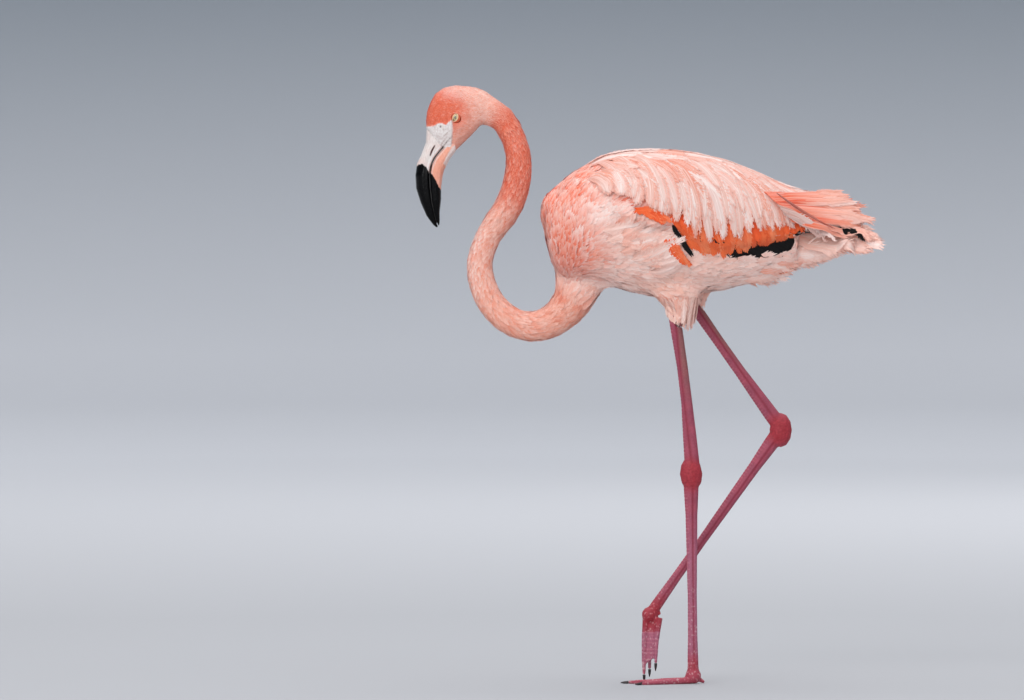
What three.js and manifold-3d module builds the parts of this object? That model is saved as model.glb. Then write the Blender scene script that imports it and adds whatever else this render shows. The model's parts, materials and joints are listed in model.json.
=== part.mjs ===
// An American flamingo, life size, in mid-step: the left leg carries it and the right foot trails.
// Millimetres, +Z up. The bird faces -X and its left side is towards -Y.
// Its origin is on the floor, at the middle of its box.
import * as THREE from "three";
import { mergeVertices } from "three/addons/utils/BufferGeometryUtils.js";
import { ConvexGeometry } from "three/addons/geometries/ConvexGeometry.js";
import Module from "manifold-3d";

const wasm = await Module();
wasm.setup();

// ---- Driving dimensions ----

const GAP = 0.4; // how far a neighbour is swollen before it is cut away
const HIP_SPREAD = 27; // each leg leaves the belly this far from the mid-plane
const LEFT_BALL_Y = -14; // the standing foot is set under the body
const RIGHT_BALL_Y = 32;
const SHANK = { depths: [18, 16.5, 15, 15.5, 19, 23], breadths: [16, 13, 11.5, 11.5, 14, 18] };
const TARSUS = {
  depths: [24, 18, 15.5, 14.5, 13, 12.5, 14, 17],
  breadths: [19, 13, 11, 10, 9.5, 9.5, 11, 14],
};
const ANKLE = { depth: 31, breadth: 23, height: 48 };
const SHANK_SET_BACK = 2.5; // the shank meets the ankle this far behind its middle
const EYE = { radius: 7.5, x: -259, y: 16.8, z: 763 };
const KNUCKLE = [11, 9, 11]; // half sizes of the ball of the foot
const TOES = { inner: 64, middle: 86, outer: 77, hind: 15 };
const TOE_DEPTHS = [10, 8, 8.5, 6.5, 7.5, 6, 6, 4];
const SOLE_HEIGHT = 0.42; // of a toe's depth, from its middle down to the floor it is flattened on
const WEB_REACH = 0.8; // how far out along the toes the web goes
const TOE_SPREAD = 27; // degrees between neighbouring toes of the standing foot
const CLAW_LENGTH = 8;
const CLAW_DEPTHS = [4.8, 4, 1.3];
const WEB_THICKNESS = 1.6;

// How finely each form is faceted, round it and along it.
const FACETS = {
  trunk: { around: 24, along: 22 },
  wing: { around: 22, along: 12 },
  neck: { around: 16, along: 6 },
  head: { around: 16, along: 10 },
  bill: { around: 12, along: 10 },
  thigh: { around: 12, along: 5 },
  leg: { around: 10, along: 5 },
  toe: { around: 7, along: 4 },
  claw: { around: 6, along: 2 },
  ball: { around: 12, along: 7 },
};

// The neck's middle line, from inside the head to inside the breast, as [x, z].
const NECK_LINE = [
  [-228.5, 776], [-201, 766], [-177.2, 726], [-174, 690], [-187.5, 643], [-216, 602], [-227.5, 561],
  [-210.5, 512], [-174, 484], [-137, 485], [-103, 514.5], [-91, 547], [-68, 594],
];
const NECK_DEPTHS = [43, 36.5, 36, 38.5, 40, 39, 39, 41.5, 43, 44.5, 49, 60, 86, 114];
const NECK_BREADTHS = [33, 34, 35, 36, 37, 36, 35, 36, 38, 40, 43, 50, 68, 92];
const NECK_LENGTHS = ["neck_top", "neck_upper", "neck_middle", "neck_lower", "neck_base"];

// Ribs of a loft, as [upper x, upper z, lower x, lower z, half breadth].
const HEAD_RIBS = [
  [-209, 793, -224, 755, 15], [-224, 803, -234, 743, 19], [-243, 807, -246, 731, 22],
  [-265, 808, -255, 722, 23], [-285, 800, -263, 714, 22], [-295.5, 783, -266, 712, 20],
  [-300.5, 765, -267, 711, 18], [-300, 750, -265, 711, 16],
];
const UPPER_BILL_RIBS = [
  [-297, 763, -265, 739, 15], [-299, 747, -270, 731, 16], [-300, 730, -279, 720, 15.5],
  [-306, 714, -287, 711, 15], [-312, 701, -292, 700, 14], [-314, 685, -295, 685, 13.5],
  [-313, 668, -294, 668, 12], [-307, 649, -292, 650, 10], [-299, 631, -289, 635, 7],
  [-290, 619, -286, 622, 4], [-285, 615, -283.5, 617, 1.5],
];
const LOWER_BILL_RIBS = [
  [-261, 738, -259, 718, 15], [-269, 730.5, -265, 711, 16], [-278, 719.5, -268, 706, 17],
  [-286, 710.5, -271, 700, 17], [-291.3, 700, -275, 693, 16], [-294.3, 685, -277, 685, 15],
  [-293.3, 668, -279, 670, 13], [-291.3, 650, -279, 653, 11], [-288.3, 635, -281, 636, 7],
  [-285, 623, -281, 624, 4], [-283, 618, -281.5, 619, 1.5],
];
// Upright ribs of the trunk with its tail, and of the folded wings, as [x, top, bottom, half breadth].
const TRUNK_RIBS = [
  [-145.5, 645, 619, 12], [-141, 657, 594, 34], [-123, 678, 545, 54], [-97, 698, 537, 68],
  [-58, 714, 534, 78], [3, 721, 519, 82], [70, 715, 522, 75], [138, 691, 537, 59],
  [205, 642, 563, 40], [259, 616, 586, 26], [297, 602, 588, 23], [315, 595, 588, 20],
];
const TAIL_STARTS_AT = 205;
const TAIL_FEATHERS = 6;
const NOTCH_DEPTH = 26; // between the tail feathers' tips
const NOTCH_HALF_MOUTH = 0.35; // of the pitch of the tail feathers
const NOTCH_TAPER = 1.15; // the notches lean outwards with the fan
const WING_RIBS = [
  [-85, 705, 529, 74], [-57, 714.5, 527, 84], [3, 722, 517, 90], [70, 717, 521, 85],
  [138, 694, 536, 72], [205, 665, 552, 55], [259, 658, 564, 41], [302, 648, 574, 29],
];
const BEYOND_WING = 120; // further from the mid-plane than the wings reach
// Side outlines of the coverts and scapulars, and of the dark quills below them, as [x, z].
const COVERT_OUTLINE = [
  [-57, 652], [-50, 676], [-34, 694], [-4, 705], [43, 710], [97, 709], [131, 722], [205, 702],
  [273, 662], [266, 649], [290, 647], [278, 636], [296, 628], [282, 616], [292, 609], [262, 605],
  [225, 605], [185, 601], [138, 590], [97, 587], [70, 592], [50, 605], [32, 617], [9, 613],
  [-24, 620], [-49, 636],
];
const QUILL_OUTLINE = [
  [33, 614], [50, 600], [69, 588], [97, 583], [138, 586], [185, 597], [225, 601], [262, 601],
  [302, 604], [289, 596], [240, 592], [205, 586], [171, 580], [131, 573], [97, 571], [70, 576], [47, 592],
];

// ---- From three.js geometry to solids and back ----

function solid(geometry) {
  const loose = geometry.index ? geometry.toNonIndexed() : geometry;
  const bare = new THREE.BufferGeometry().setAttribute("position", loose.getAttribute("position"));
  const merged = mergeVertices(bare, 1e-3);
  const triVerts = new Uint32Array(merged.index.array);
  const vertProperties = merged.attributes.position.array;
  const made = new wasm.Manifold(new wasm.Mesh({ numProp: 3, vertProperties, triVerts }));
  if (made.volume() > 0) return made;
  for (let i = 0; i < triVerts.length; i += 3) {
    [triVerts[i], triVerts[i + 1]] = [triVerts[i + 1], triVerts[i]];
  }
  return new wasm.Manifold(new wasm.Mesh({ numProp: 3, vertProperties, triVerts }));
}

function geometryOf(made) {
  const { vertProperties, triVerts } = made.getMesh();
  const geometry = new THREE.BufferGeometry();
  geometry.setAttribute("position", new THREE.BufferAttribute(vertProperties, 3));
  geometry.setIndex(new THREE.BufferAttribute(triVerts, 1));
  geometry.computeVertexNormals();
  return geometry;
}

// The same solid with its surface pushed out by the gap, to cut its neighbours back with.
function swollen(made, by = GAP) {
  const geometry = geometryOf(made);
  const { position, normal } = geometry.attributes;
  const place = new THREE.Vector3();
  const push = new THREE.Vector3();
  for (let i = 0; i < position.count; i += 1) {
    push.fromBufferAttribute(normal, i).multiplyScalar(by);
    place.fromBufferAttribute(position, i).add(push);
    position.setXYZ(i, place.x, place.y, place.z);
  }
  return solid(geometry);
}

const without = (made, ...others) => others.reduce((rest, other) => rest.subtract(swollen(other)), made);
const joined = (first, ...others) => others.reduce((sum, other) => sum.add(other), first);

// ---- Swept and lofted forms ----

const point = (x, y, z) => new THREE.Vector3(x, y, z);

// A smooth number that passes through evenly spaced values as t goes from 0 to 1.
function profile(values) {
  const curve = new THREE.SplineCurve(values.map((value, i) => new THREE.Vector2(i, value)));
  return (t) => curve.getPoint(t).y;
}

// A rounded form: section(t) gives its centre, half depth as a vector, and half breadth.
// A power of 2 is round, and a higher one flattens that half of the section.
function swept(section, { around, along, upperPower = 2, lowerPower = 2 }) {
  const geometry = new THREE.CylinderGeometry(1, 1, 1, around, along);
  const { position } = geometry.attributes;
  const place = new THREE.Vector3();
  for (let i = 0; i < position.count; i += 1) {
    const { centre, halfDepth, halfBreadth } = section(0.5 - position.getY(i));
    const [deep, wide] = [position.getX(i), position.getZ(i)].map((v) => (Math.abs(v) < 1e-6 ? 0 : v));
    const power = 2 / (deep > 0 ? upperPower : lowerPower);
    place.copy(centre).addScaledVector(halfDepth, Math.sign(deep) * Math.abs(deep) ** power);
    place.y += Math.sign(wide) * Math.abs(wide) ** power * halfBreadth;
    position.setXYZ(i, place.x, place.y, place.z);
  }
  return solid(geometry);
}

// A form lofted through ribs.
function lofted(ribs, options) {
  const line = (x, z) => new THREE.CatmullRomCurve3(ribs.map((r) => new THREE.Vector3(r[x], 0, r[z])));
  const upper = line(0, 1);
  const lower = line(2, 3);
  const halfBreadth = profile(ribs.map((r) => r[4]));
  return swept((t) => {
    const [high, low] = [upper.getPoint(t), lower.getPoint(t)];
    const centre = high.clone().add(low).divideScalar(2);
    return { centre, halfDepth: high.sub(centre), halfBreadth: halfBreadth(t) };
  }, options);
}

const upright = (ribs) => ribs.map(([x, top, bottom, half]) => [x, top, x, bottom, half]);

// A form along a curve near the XZ plane, with its full depths and breadths from end to end.
function tube(curve, depths, breadths, options, from = 0, to = 1) {
  const depth = profile(depths);
  const breadth = profile(breadths);
  return swept((share) => {
    const t = THREE.MathUtils.lerp(from, to, share);
    const tangent = curve.getTangentAt(t);
    const halfDepth = point(-tangent.z, 0, tangent.x).setLength(depth(t) / 2);
    return { centre: curve.getPointAt(t), halfDepth, halfBreadth: breadth(t) / 2 };
  }, options);
}

// A plate with this side outline, between two distances from the mid-plane.
function plate(outline, nearY, farY) {
  const shape = new THREE.Shape(outline.map(([x, z]) => new THREE.Vector2(x, z)));
  const geometry = new THREE.ExtrudeGeometry(shape, { depth: farY - nearY, bevelEnabled: false });
  geometry.rotateX(Math.PI / 2).translate(0, farY, 0);
  return solid(geometry);
}

// A ball, or an ellipsoid from its three half sizes, turned by a lean about Y.
function ellipsoid(centre, halfSizes, lean = 0) {
  const geometry = new THREE.SphereGeometry(1, FACETS.ball.around, FACETS.ball.along);
  return solid(geometry.scale(...halfSizes).rotateY(lean).translate(centre.x, centre.y, centre.z));
}

const FLOOR = solid(new THREE.BoxGeometry(900, 400, 40).translate(0, 0, -20));

// ---- Trunk, tail, neck and head ----

function trunkAndTail() {
  const form = { ...FACETS.trunk, upperPower: 1.9, lowerPower: 2.2 };
  const whole = lofted(upright(TRUNK_RIBS), form);
  const behind = (x) => solid(new THREE.BoxGeometry(200, 300, 300).translate(x + 100, 0, 600));
  const [tipX, , , tipHalfBreadth] = TRUNK_RIBS.at(-1);
  const pitch = (2 * tipHalfBreadth) / TAIL_FEATHERS;
  let tail = whole.intersect(behind(TAIL_STARTS_AT + GAP));
  for (let i = 1; i < TAIL_FEATHERS; i += 1) {
    const y = (i - TAIL_FEATHERS / 2) * pitch;
    const wedge = new THREE.Shape([
      new THREE.Vector2(tipX - NOTCH_DEPTH, y * NOTCH_TAPER),
      new THREE.Vector2(tipX + 1, y - pitch * NOTCH_HALF_MOUTH),
      new THREE.Vector2(tipX + 1, y + pitch * NOTCH_HALF_MOUTH),
    ]);
    const notch = new THREE.ExtrudeGeometry(wedge, { depth: 90, bevelEnabled: false });
    tail = tail.subtract(solid(notch.translate(0, 0, 550)));
  }
  return { trunk: whole.subtract(behind(TAIL_STARTS_AT)), tail, whole };
}

function neckLengths(trunk, head) {
  const curve = new THREE.CatmullRomCurve3(NECK_LINE.map(([x, z]) => new THREE.Vector3(x, 0, z)));
  const parting = GAP / curve.getLength();
  const share = 1 / NECK_LENGTHS.length;
  const lengths = {};
  NECK_LENGTHS.forEach((name, i) => {
    const from = i * share + (i ? parting / 2 : 0);
    const to = (i + 1) * share - parting / 2;
    lengths[name] = tube(curve, NECK_DEPTHS, NECK_BREADTHS, FACETS.neck, from, to);
  });
  lengths.neck_top = without(lengths.neck_top, head);
  lengths.neck_base = without(lengths.neck_base, trunk);
  return lengths;
}

function headAndBill() {
  const eyeSize = [EYE.radius, EYE.radius, EYE.radius];
  const eyeBall = (side) => ellipsoid(point(EYE.x, side * EYE.y, EYE.z), eyeSize);
  const [leftEye, rightEye] = [eyeBall(-1), eyeBall(1)];
  const head = without(lofted(HEAD_RIBS, FACETS.head), leftEye, rightEye);
  const upper = lofted(UPPER_BILL_RIBS, { ...FACETS.bill, lowerPower: 5 });
  const lower = lofted(LOWER_BILL_RIBS, { ...FACETS.bill, upperPower: 5, lowerPower: 2.4 });
  const [upperBill, lowerBill] = [without(upper, head), without(lower, head, upper)];
  return { head, leftEye, rightEye, upperBill, lowerBill };
}

// ---- Wings ----

function wing(side, trunk) {
  const envelope = lofted(upright(WING_RIBS), { ...FACETS.wing, upperPower: 2, lowerPower: 2.2 });
  const [nearY, farY] = side < 0 ? [-BEYOND_WING, -GAP / 2] : [GAP / 2, BEYOND_WING];
  const coverts = envelope.intersect(plate(COVERT_OUTLINE, nearY, farY));
  const quills = envelope.intersect(plate(QUILL_OUTLINE, nearY, farY));
  return { coverts: without(coverts, trunk), quills: without(quills, trunk, coverts) };
}

// ---- Legs ----

// A leg from its hip, ankle and the ball of the foot, with the feathered thigh round its top.
function leg(hip, ankle, ballOfFoot, bow, thighRibs, trunk, foot) {
  const lean = hip.clone().sub(ankle).normalize().add(ankle.clone().sub(ballOfFoot).normalize());
  const knob = [ANKLE.depth / 2, ANKLE.breadth / 2, ANKLE.height / 2];
  const joint = ellipsoid(ankle, knob, Math.atan2(lean.x, lean.z));
  const middle = hip.clone().lerp(ankle, 0.5).setX((hip.x + ankle.x) / 2 + bow);
  const shankEnd = ankle.clone().add(point(SHANK_SET_BACK, 0, 0));
  const shankLine = new THREE.CatmullRomCurve3([hip, middle, shankEnd]);
  const shank = tube(shankLine, SHANK.depths, SHANK.breadths, FACETS.leg);
  const tarsusLine = new THREE.LineCurve3(ankle, ballOfFoot);
  const tarsus = tube(tarsusLine, TARSUS.depths, TARSUS.breadths, FACETS.leg);
  const thigh = lofted(thighRibs, FACETS.thigh).translate([0, hip.y, 0]);
  return {
    thigh: without(thigh, trunk),
    shank: without(shank, thigh, trunk, joint),
    ankle: joint,
    tarsus: without(tarsus, joint, foot),
  };
}

// One toe from its root to its tip, arched by the rise, and the claw beyond it.
function toeAndClaw(root, tip, rise) {
  const middle = root.clone().lerp(tip, 0.5).add(rise);
  const curve = new THREE.CatmullRomCurve3([root, middle, tip]);
  const toe = tube(curve, TOE_DEPTHS, TOE_DEPTHS, FACETS.toe);
  const reach = curve.getTangentAt(1);
  const start = tip.clone().addScaledVector(reach, -CLAW_LENGTH / 3);
  const end = tip.clone().addScaledVector(reach, CLAW_LENGTH);
  const claw = tube(new THREE.LineCurve3(start, end), CLAW_DEPTHS, CLAW_DEPTHS, FACETS.claw);
  return { toe, claw };
}

// A web between two toes, out to a share of their length.
function web(a, b, thickness) {
  const outer = (toe) => toe.root.clone().lerp(toe.tip, WEB_REACH);
  const corners = [a.root, b.root, outer(a), outer(b)];
  return solid(new ConvexGeometry(corners.flatMap((p) => [p.clone(), p.clone().add(thickness)])));
}

// A foot from the ball and its three toes, each { root, tip, rise }, with a short hind toe.
function foot(ballOfFoot, toes, hind, webThickness) {
  const knuckle = ellipsoid(ballOfFoot, KNUCKLE);
  const made = toes.map(({ root, tip, rise }) => toeAndClaw(root, tip, rise));
  const spur = toeAndClaw(hind.root, hind.tip, hind.rise).toe;
  const webs = [web(toes[0], toes[1], webThickness), web(toes[1], toes[2], webThickness)];
  const whole = joined(knuckle, ...made.map((m) => m.toe), spur, ...webs).subtract(FLOOR);
  const claws = made.map((m) => m.claw.subtract(FLOOR));
  return { foot: without(whole, ...claws), claws };
}

// The standing foot lies flat: its toes run forwards along the floor and its webs rest on it.
function standingFoot(ballOfFoot) {
  const low = TOE_DEPTHS[0] * SOLE_HEIGHT;
  const toes = ["inner", "middle", "outer"].map((name, i) => {
    const turn = THREE.MathUtils.degToRad((1 - i) * TOE_SPREAD);
    const reach = point(-Math.cos(turn), Math.sin(turn), 0);
    const root = ballOfFoot.clone().setZ(low).addScaledVector(reach, 4);
    const tip = root.clone().addScaledVector(reach, TOES[name]).setZ(TOE_DEPTHS.at(-1) * SOLE_HEIGHT);
    return { root, tip, rise: point(0, 0, 0.4) };
  });
  const hind = {
    root: ballOfFoot.clone(),
    tip: ballOfFoot.clone().add(point(TOES.hind, 3, 0)).setZ(TOE_DEPTHS.at(-1) * SOLE_HEIGHT),
    rise: point(0, 0, 0),
  };
  return foot(ballOfFoot, toes, hind, point(0, 0, WEB_THICKNESS));
}

// The trailing foot hangs with its toes drawn together, and the middle claw's tip is on the floor.
function trailingFoot(ballOfFoot) {
  const hang = (rootX, tipX, y, tipY, tipZ) => ({
    root: ballOfFoot.clone().add(point(rootX, y, -4)),
    tip: point(ballOfFoot.x + tipX, ballOfFoot.y + tipY, tipZ),
    rise: point(-1.5, 0, 0),
  });
  const middleTip = CLAW_LENGTH - 1;
  const toes = [
    hang(13, 8, -4, -9, middleTip + 16),
    hang(-5, -7.5, 0, 0, middleTip),
    hang(4, 0, 4, 9, middleTip + 7),
  ];
  const hind = {
    root: ballOfFoot.clone(),
    tip: ballOfFoot.clone().add(point(TOES.hind, 0, 2)),
    rise: point(0, 0, 0),
  };
  return foot(ballOfFoot, toes, hind, point(WEB_THICKNESS, WEB_THICKNESS * 0.6, 0));
}

// ---- Assembly ----

const finish = (color, roughness) => new THREE.MeshStandardMaterial({ color, roughness, metalness: 0 });
const MATERIALS = {
  plumage: finish("#f0987f", 0.85),
  wing: finish("#f4b9a6", 0.85),
  quill: finish("#141214", 0.6),
  horn: finish("#e9dcd6", 0.4),
  claw: finish("#1b1517", 0.4),
  skin: finish("#b4485a", 0.55),
  eye: finish("#e8d48a", 0.1),
};

const flamingo = new THREE.Group();
flamingo.name = "flamingo";

function add(name, made, material) {
  const mesh = new THREE.Mesh(geometryOf(made), MATERIALS[material]);
  mesh.name = name;
  flamingo.add(mesh);
}

const { head, leftEye, rightEye, upperBill, lowerBill } = headAndBill();
const { trunk, tail, whole: wholeTrunk } = trunkAndTail();
const neck = neckLengths(trunk, head);
add("head", head, "plumage");
add("eye_left", leftEye, "eye");
add("eye_right", rightEye, "eye");
add("bill_upper", upperBill, "horn");
add("bill_lower", lowerBill, "horn");
add("trunk", trunk, "plumage");
add("tail", tail, "plumage");
NECK_LENGTHS.forEach((name) => add(name, neck[name], "plumage"));

const LEGS = {
  left: {
    sign: -1,
    hip: point(31, -HIP_SPREAD, 523),
    ankle: point(58, -20, 283),
    ball: point(61, LEFT_BALL_Y, 10.5),
    bow: 5,
    makeFoot: standingFoot,
    thigh: [
      [-11, 558, 77, 558, 32], [3, 520, 74, 523, 24], [18, 507, 66, 509, 16], [28, 495, 58, 497, 11],
      [36, 483, 51, 480, 6],
    ],
  },
  right: {
    sign: 1,
    hip: point(41, HIP_SPREAD, 541),
    ankle: point(180.5, 36, 341),
    ball: point(3, RIGHT_BALL_Y, 91),
    bow: 0,
    makeFoot: trailingFoot,
    thigh: [[12, 561, 96, 569, 30], [36, 522, 88, 537, 18], [50, 506, 73, 516, 8]],
  },
};
for (const [side, { sign, hip, ankle, ball: ballOfFoot, bow, makeFoot, thigh }] of Object.entries(LEGS)) {
  const { foot: footSolid, claws } = makeFoot(ballOfFoot);
  const made = leg(hip, ankle, ballOfFoot, bow, thigh, wholeTrunk, footSolid);
  add(`thigh_${side}`, made.thigh, "plumage");
  add(`shank_${side}`, made.shank, "skin");
  add(`ankle_${side}`, made.ankle, "skin");
  add(`tarsus_${side}`, made.tarsus, "skin");
  add(`foot_${side}`, footSolid, "skin");
  ["inner", "middle", "outer"].forEach((name, i) => add(`claw_${name}_${side}`, claws[i], "claw"));
  const { coverts, quills } = wing(sign, wholeTrunk);
  add(`wing_${side}`, coverts, "wing");
  add(`quills_${side}`, quills, "quill");
}

const box = new THREE.Box3().setFromObject(flamingo);
const middle = box.getCenter(new THREE.Vector3());
flamingo.position.set(-middle.x, -middle.y, -box.min.z);

export default flamingo;
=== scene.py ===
"""The looks of a life-size flamingo: skin, bill, eyes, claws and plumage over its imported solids.

Metres, +Z up. The bird faces -X, and its left side is towards -Y.
"""
import json
import math
from types import SimpleNamespace

import bmesh
import bpy
import numpy as np
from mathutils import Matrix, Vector, noise
from mathutils.bvhtree import BVHTree

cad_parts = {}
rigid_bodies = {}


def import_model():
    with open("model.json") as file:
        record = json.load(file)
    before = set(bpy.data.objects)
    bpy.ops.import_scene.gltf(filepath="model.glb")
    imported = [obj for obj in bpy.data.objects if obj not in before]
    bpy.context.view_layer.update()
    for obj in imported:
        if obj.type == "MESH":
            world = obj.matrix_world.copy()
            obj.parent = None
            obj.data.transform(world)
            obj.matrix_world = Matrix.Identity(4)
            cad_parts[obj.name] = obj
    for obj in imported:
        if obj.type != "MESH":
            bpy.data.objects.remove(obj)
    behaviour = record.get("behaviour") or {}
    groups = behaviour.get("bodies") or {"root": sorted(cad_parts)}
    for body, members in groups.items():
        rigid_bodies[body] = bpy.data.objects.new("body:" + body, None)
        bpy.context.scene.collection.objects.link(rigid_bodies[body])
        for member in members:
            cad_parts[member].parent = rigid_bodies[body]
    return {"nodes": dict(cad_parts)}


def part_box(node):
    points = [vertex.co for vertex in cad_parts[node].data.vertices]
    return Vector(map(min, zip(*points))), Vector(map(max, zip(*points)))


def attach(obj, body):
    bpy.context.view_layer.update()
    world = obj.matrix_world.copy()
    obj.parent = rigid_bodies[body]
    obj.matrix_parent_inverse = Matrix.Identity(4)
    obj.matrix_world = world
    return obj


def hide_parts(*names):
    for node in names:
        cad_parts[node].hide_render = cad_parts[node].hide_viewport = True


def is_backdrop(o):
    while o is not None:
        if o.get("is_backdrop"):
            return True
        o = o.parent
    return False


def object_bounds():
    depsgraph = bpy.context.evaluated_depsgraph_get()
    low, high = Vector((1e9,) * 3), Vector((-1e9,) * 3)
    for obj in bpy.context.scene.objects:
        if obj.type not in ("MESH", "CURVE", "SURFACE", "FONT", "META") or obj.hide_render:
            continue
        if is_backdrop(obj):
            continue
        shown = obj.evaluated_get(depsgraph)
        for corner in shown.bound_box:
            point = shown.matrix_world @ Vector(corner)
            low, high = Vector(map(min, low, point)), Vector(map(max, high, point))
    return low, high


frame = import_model()
CAD_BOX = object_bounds()

bl_info = {
    "name": "Flamingo looks",
    "version": (1, 0, 0),
    "blender": (4, 5, 0),
    "location": "View3D > Sidebar > Flamingo",
    "description": "Skin, horn, eyes and plumage for a life-size flamingo",
    "category": "Object",
}

SIDES = {"left": -1, "right": 1}
NECK_NODES = ["neck_top", "neck_upper", "neck_middle", "neck_lower", "neck_base"]
GROW = 0.0006  # how far solids are grown so that neighbours fuse, before the skin is drawn back in

# The neck's middle line, from the head to inside the breast, as (x, z).
NECK_LINE = [
    (-0.229, 0.776), (-0.2016, 0.766), (-0.1778, 0.726), (-0.1745, 0.690), (-0.188, 0.643),
    (-0.2165, 0.602), (-0.228, 0.561), (-0.211, 0.512), (-0.1745, 0.484), (-0.1375, 0.485),
    (-0.1036, 0.5145), (-0.0916, 0.547), (-0.0686, 0.594),
]
# Where the face's bare skin ends: under the brow, and down the cheek behind the mouth, as (x, z).
BROW = [(-0.2977, 0.7514), (-0.2882, 0.7526), (-0.2845, 0.7556), (-0.2801, 0.7563), (-0.2737, 0.7540),
        (-0.2695, 0.7568), (-0.2666, 0.7605), (-0.2630, 0.7625)]
CHEEK = [(-0.2655, 0.7200), (-0.2645, 0.7350), (-0.2634, 0.7500), (-0.2645, 0.7600), (-0.2655, 0.7650)]
# Where the bill's horn begins, from the forehead to behind the lower jaw, as (x, z).
BILL_START = [(-0.2990, 0.7506), (-0.2780, 0.7270), (-0.2600, 0.7215)]
# Folds of bare skin in front of the gape, as (x, z).
FOLDS = [[(-0.2645, 0.7385), (-0.2720, 0.7310), (-0.2801, 0.7216)],
         [(-0.2690, 0.7400), (-0.2762, 0.7318), (-0.2834, 0.7205)],
         [(-0.2660, 0.7480), (-0.2735, 0.7405), (-0.2800, 0.7330)]]


# ---- Numbers and colours ----

def srgb(code):
    """A linear colour from a #rrggbb code."""
    parts = [int(code[i:i + 2], 16) / 255 for i in (1, 3, 5)]
    return tuple(c / 12.92 if c <= 0.04045 else ((c + 0.055) / 1.055) ** 2.4 for c in parts)


def rgba(code):
    return (*srgb(code), 1.0)


def smooth(low, high, value):
    """A smooth step from 0 at low to 1 at high, for numbers or arrays."""
    t = np.clip((np.asarray(value, float) - low) / (high - low), 0, 1)
    return t * t * (3 - 2 * t)


def mixed(a, b, share):
    """Colours or points a and b mixed, where share is one number for each row."""
    share = np.asarray(share, float)[..., None]
    return np.asarray(a, float) * (1 - share) + np.asarray(b, float) * share


def toned(colours, code, share):
    """Colours with the one of a #rrggbb code laid over them, by a share for each row."""
    return mixed(colours, srgb(code), share)


def unit(vectors):
    length = np.linalg.norm(vectors, axis=-1, keepdims=True)
    return vectors / np.maximum(length, 1e-12)


def rough(points, scale, seed=0.0):
    """Soft noise from -1 to 1 at each point, with features about scale metres across."""
    offset = Vector((seed, seed * 1.7, -seed))
    return np.array([noise.noise(Vector(p) / scale + offset) for p in points])


# ---- Meshes as arrays ----

def mesh_from(name, points, faces):
    """A mesh from an array of points and an array of faces that all have as many corners."""
    mesh = bpy.data.meshes.new(name)
    faces = np.asarray(faces, np.int32)
    mesh.vertices.add(len(points))
    mesh.vertices.foreach_set("co", np.asarray(points, np.float32).ravel())
    mesh.loops.add(faces.size)
    mesh.loops.foreach_set("vertex_index", faces.ravel())
    mesh.polygons.add(len(faces))
    mesh.polygons.foreach_set("loop_start", np.arange(0, faces.size, faces.shape[1], dtype=np.int32))
    mesh.update(calc_edges=True)
    mesh.validate()
    return mesh


def object_from(name, mesh):
    """A smooth-shaded object in the scene."""
    made = bpy.data.objects.new(name, mesh)
    bpy.context.scene.collection.objects.link(made)
    mesh.shade_smooth()
    return made


def handed_in(piece, slot, nodes=()):
    """The piece on its body, in place of the solids it stands for; the slot is not used."""
    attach(piece, "root")
    if nodes:
        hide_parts(*nodes)
    return piece


def read(items, name, width, kind=np.float32):
    """A value of every item, as an array with a row for each."""
    values = np.empty(len(items) * width, kind)
    items.foreach_get(name, values)
    return values.reshape(-1, width) if width > 1 else values


def points_of(mesh):
    return read(mesh.vertices, "co", 3).astype(float)


def normals_of(mesh):
    return read(mesh.vertex_normals, "vector", 3).astype(float)


def edges_of(mesh):
    return read(mesh.edges, "vertices", 2, np.int32)


def store(mesh, name, kind, values):
    """Writes an attribute: a float, a vector or a colour for each point."""
    attribute = mesh.attributes.get(name) or mesh.attributes.new(name, kind, "POINT")
    key = {"FLOAT": "value", "FLOAT_VECTOR": "vector", "FLOAT_COLOR": "color"}[kind]
    values = np.asarray(values, float)
    if kind == "FLOAT_COLOR" and values.shape[-1] == 3:
        values = np.concatenate([values, np.ones((len(values), 1))], axis=1)
    attribute.data.foreach_set(key, values.astype(np.float32).ravel())


def as_modified(obj):
    """A new mesh of the object as its modifiers leave it."""
    graph = bpy.context.evaluated_depsgraph_get()
    return bpy.data.meshes.new_from_object(obj.evaluated_get(graph))


def taken_from(obj):
    """The object's mesh as its modifiers leave it, and the object is removed."""
    mesh = as_modified(obj)
    bpy.data.objects.remove(obj)
    return mesh


def relaxed(points, edges, rounds):
    """Smoothed with hardly any shrinking: what one smoothing took away is smoothed and given back."""
    count = len(points)
    degree = np.maximum(np.bincount(edges.ravel(), minlength=count), 1)[:, None]
    a, b = edges[:, 0], edges[:, 1]

    def drawn_together(values):
        for _ in range(rounds):
            total = np.stack([
                np.bincount(a, values[b, axis], count) + np.bincount(b, values[a, axis], count)
                for axis in range(3)], axis=1)
            values = 0.5 * values + 0.5 * total / degree
        return values

    once = drawn_together(points)
    return once + drawn_together(points - once)


def welded(node, grow=0.0):
    """A CAD node's points and triangles with its doubles merged, and grown outwards."""
    bm = bmesh.new()
    bm.from_mesh(frame["nodes"][node].data)
    bmesh.ops.remove_doubles(bm, verts=bm.verts, dist=1e-5)
    bmesh.ops.triangulate(bm, faces=bm.faces)
    bmesh.ops.recalc_face_normals(bm, faces=bm.faces)
    points = np.array([v.co + v.normal * grow for v in bm.verts])
    triangles = np.array([[v.index for v in f.verts] for f in bm.faces])
    bm.free()
    return points, triangles


def stacked(parts):
    """Several (points, faces) joined into one."""
    start = np.cumsum([0] + [len(points) for points, _ in parts])
    return (np.concatenate([points for points, _ in parts]),
            np.concatenate([faces + s for (_, faces), s in zip(parts, start)]))


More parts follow.
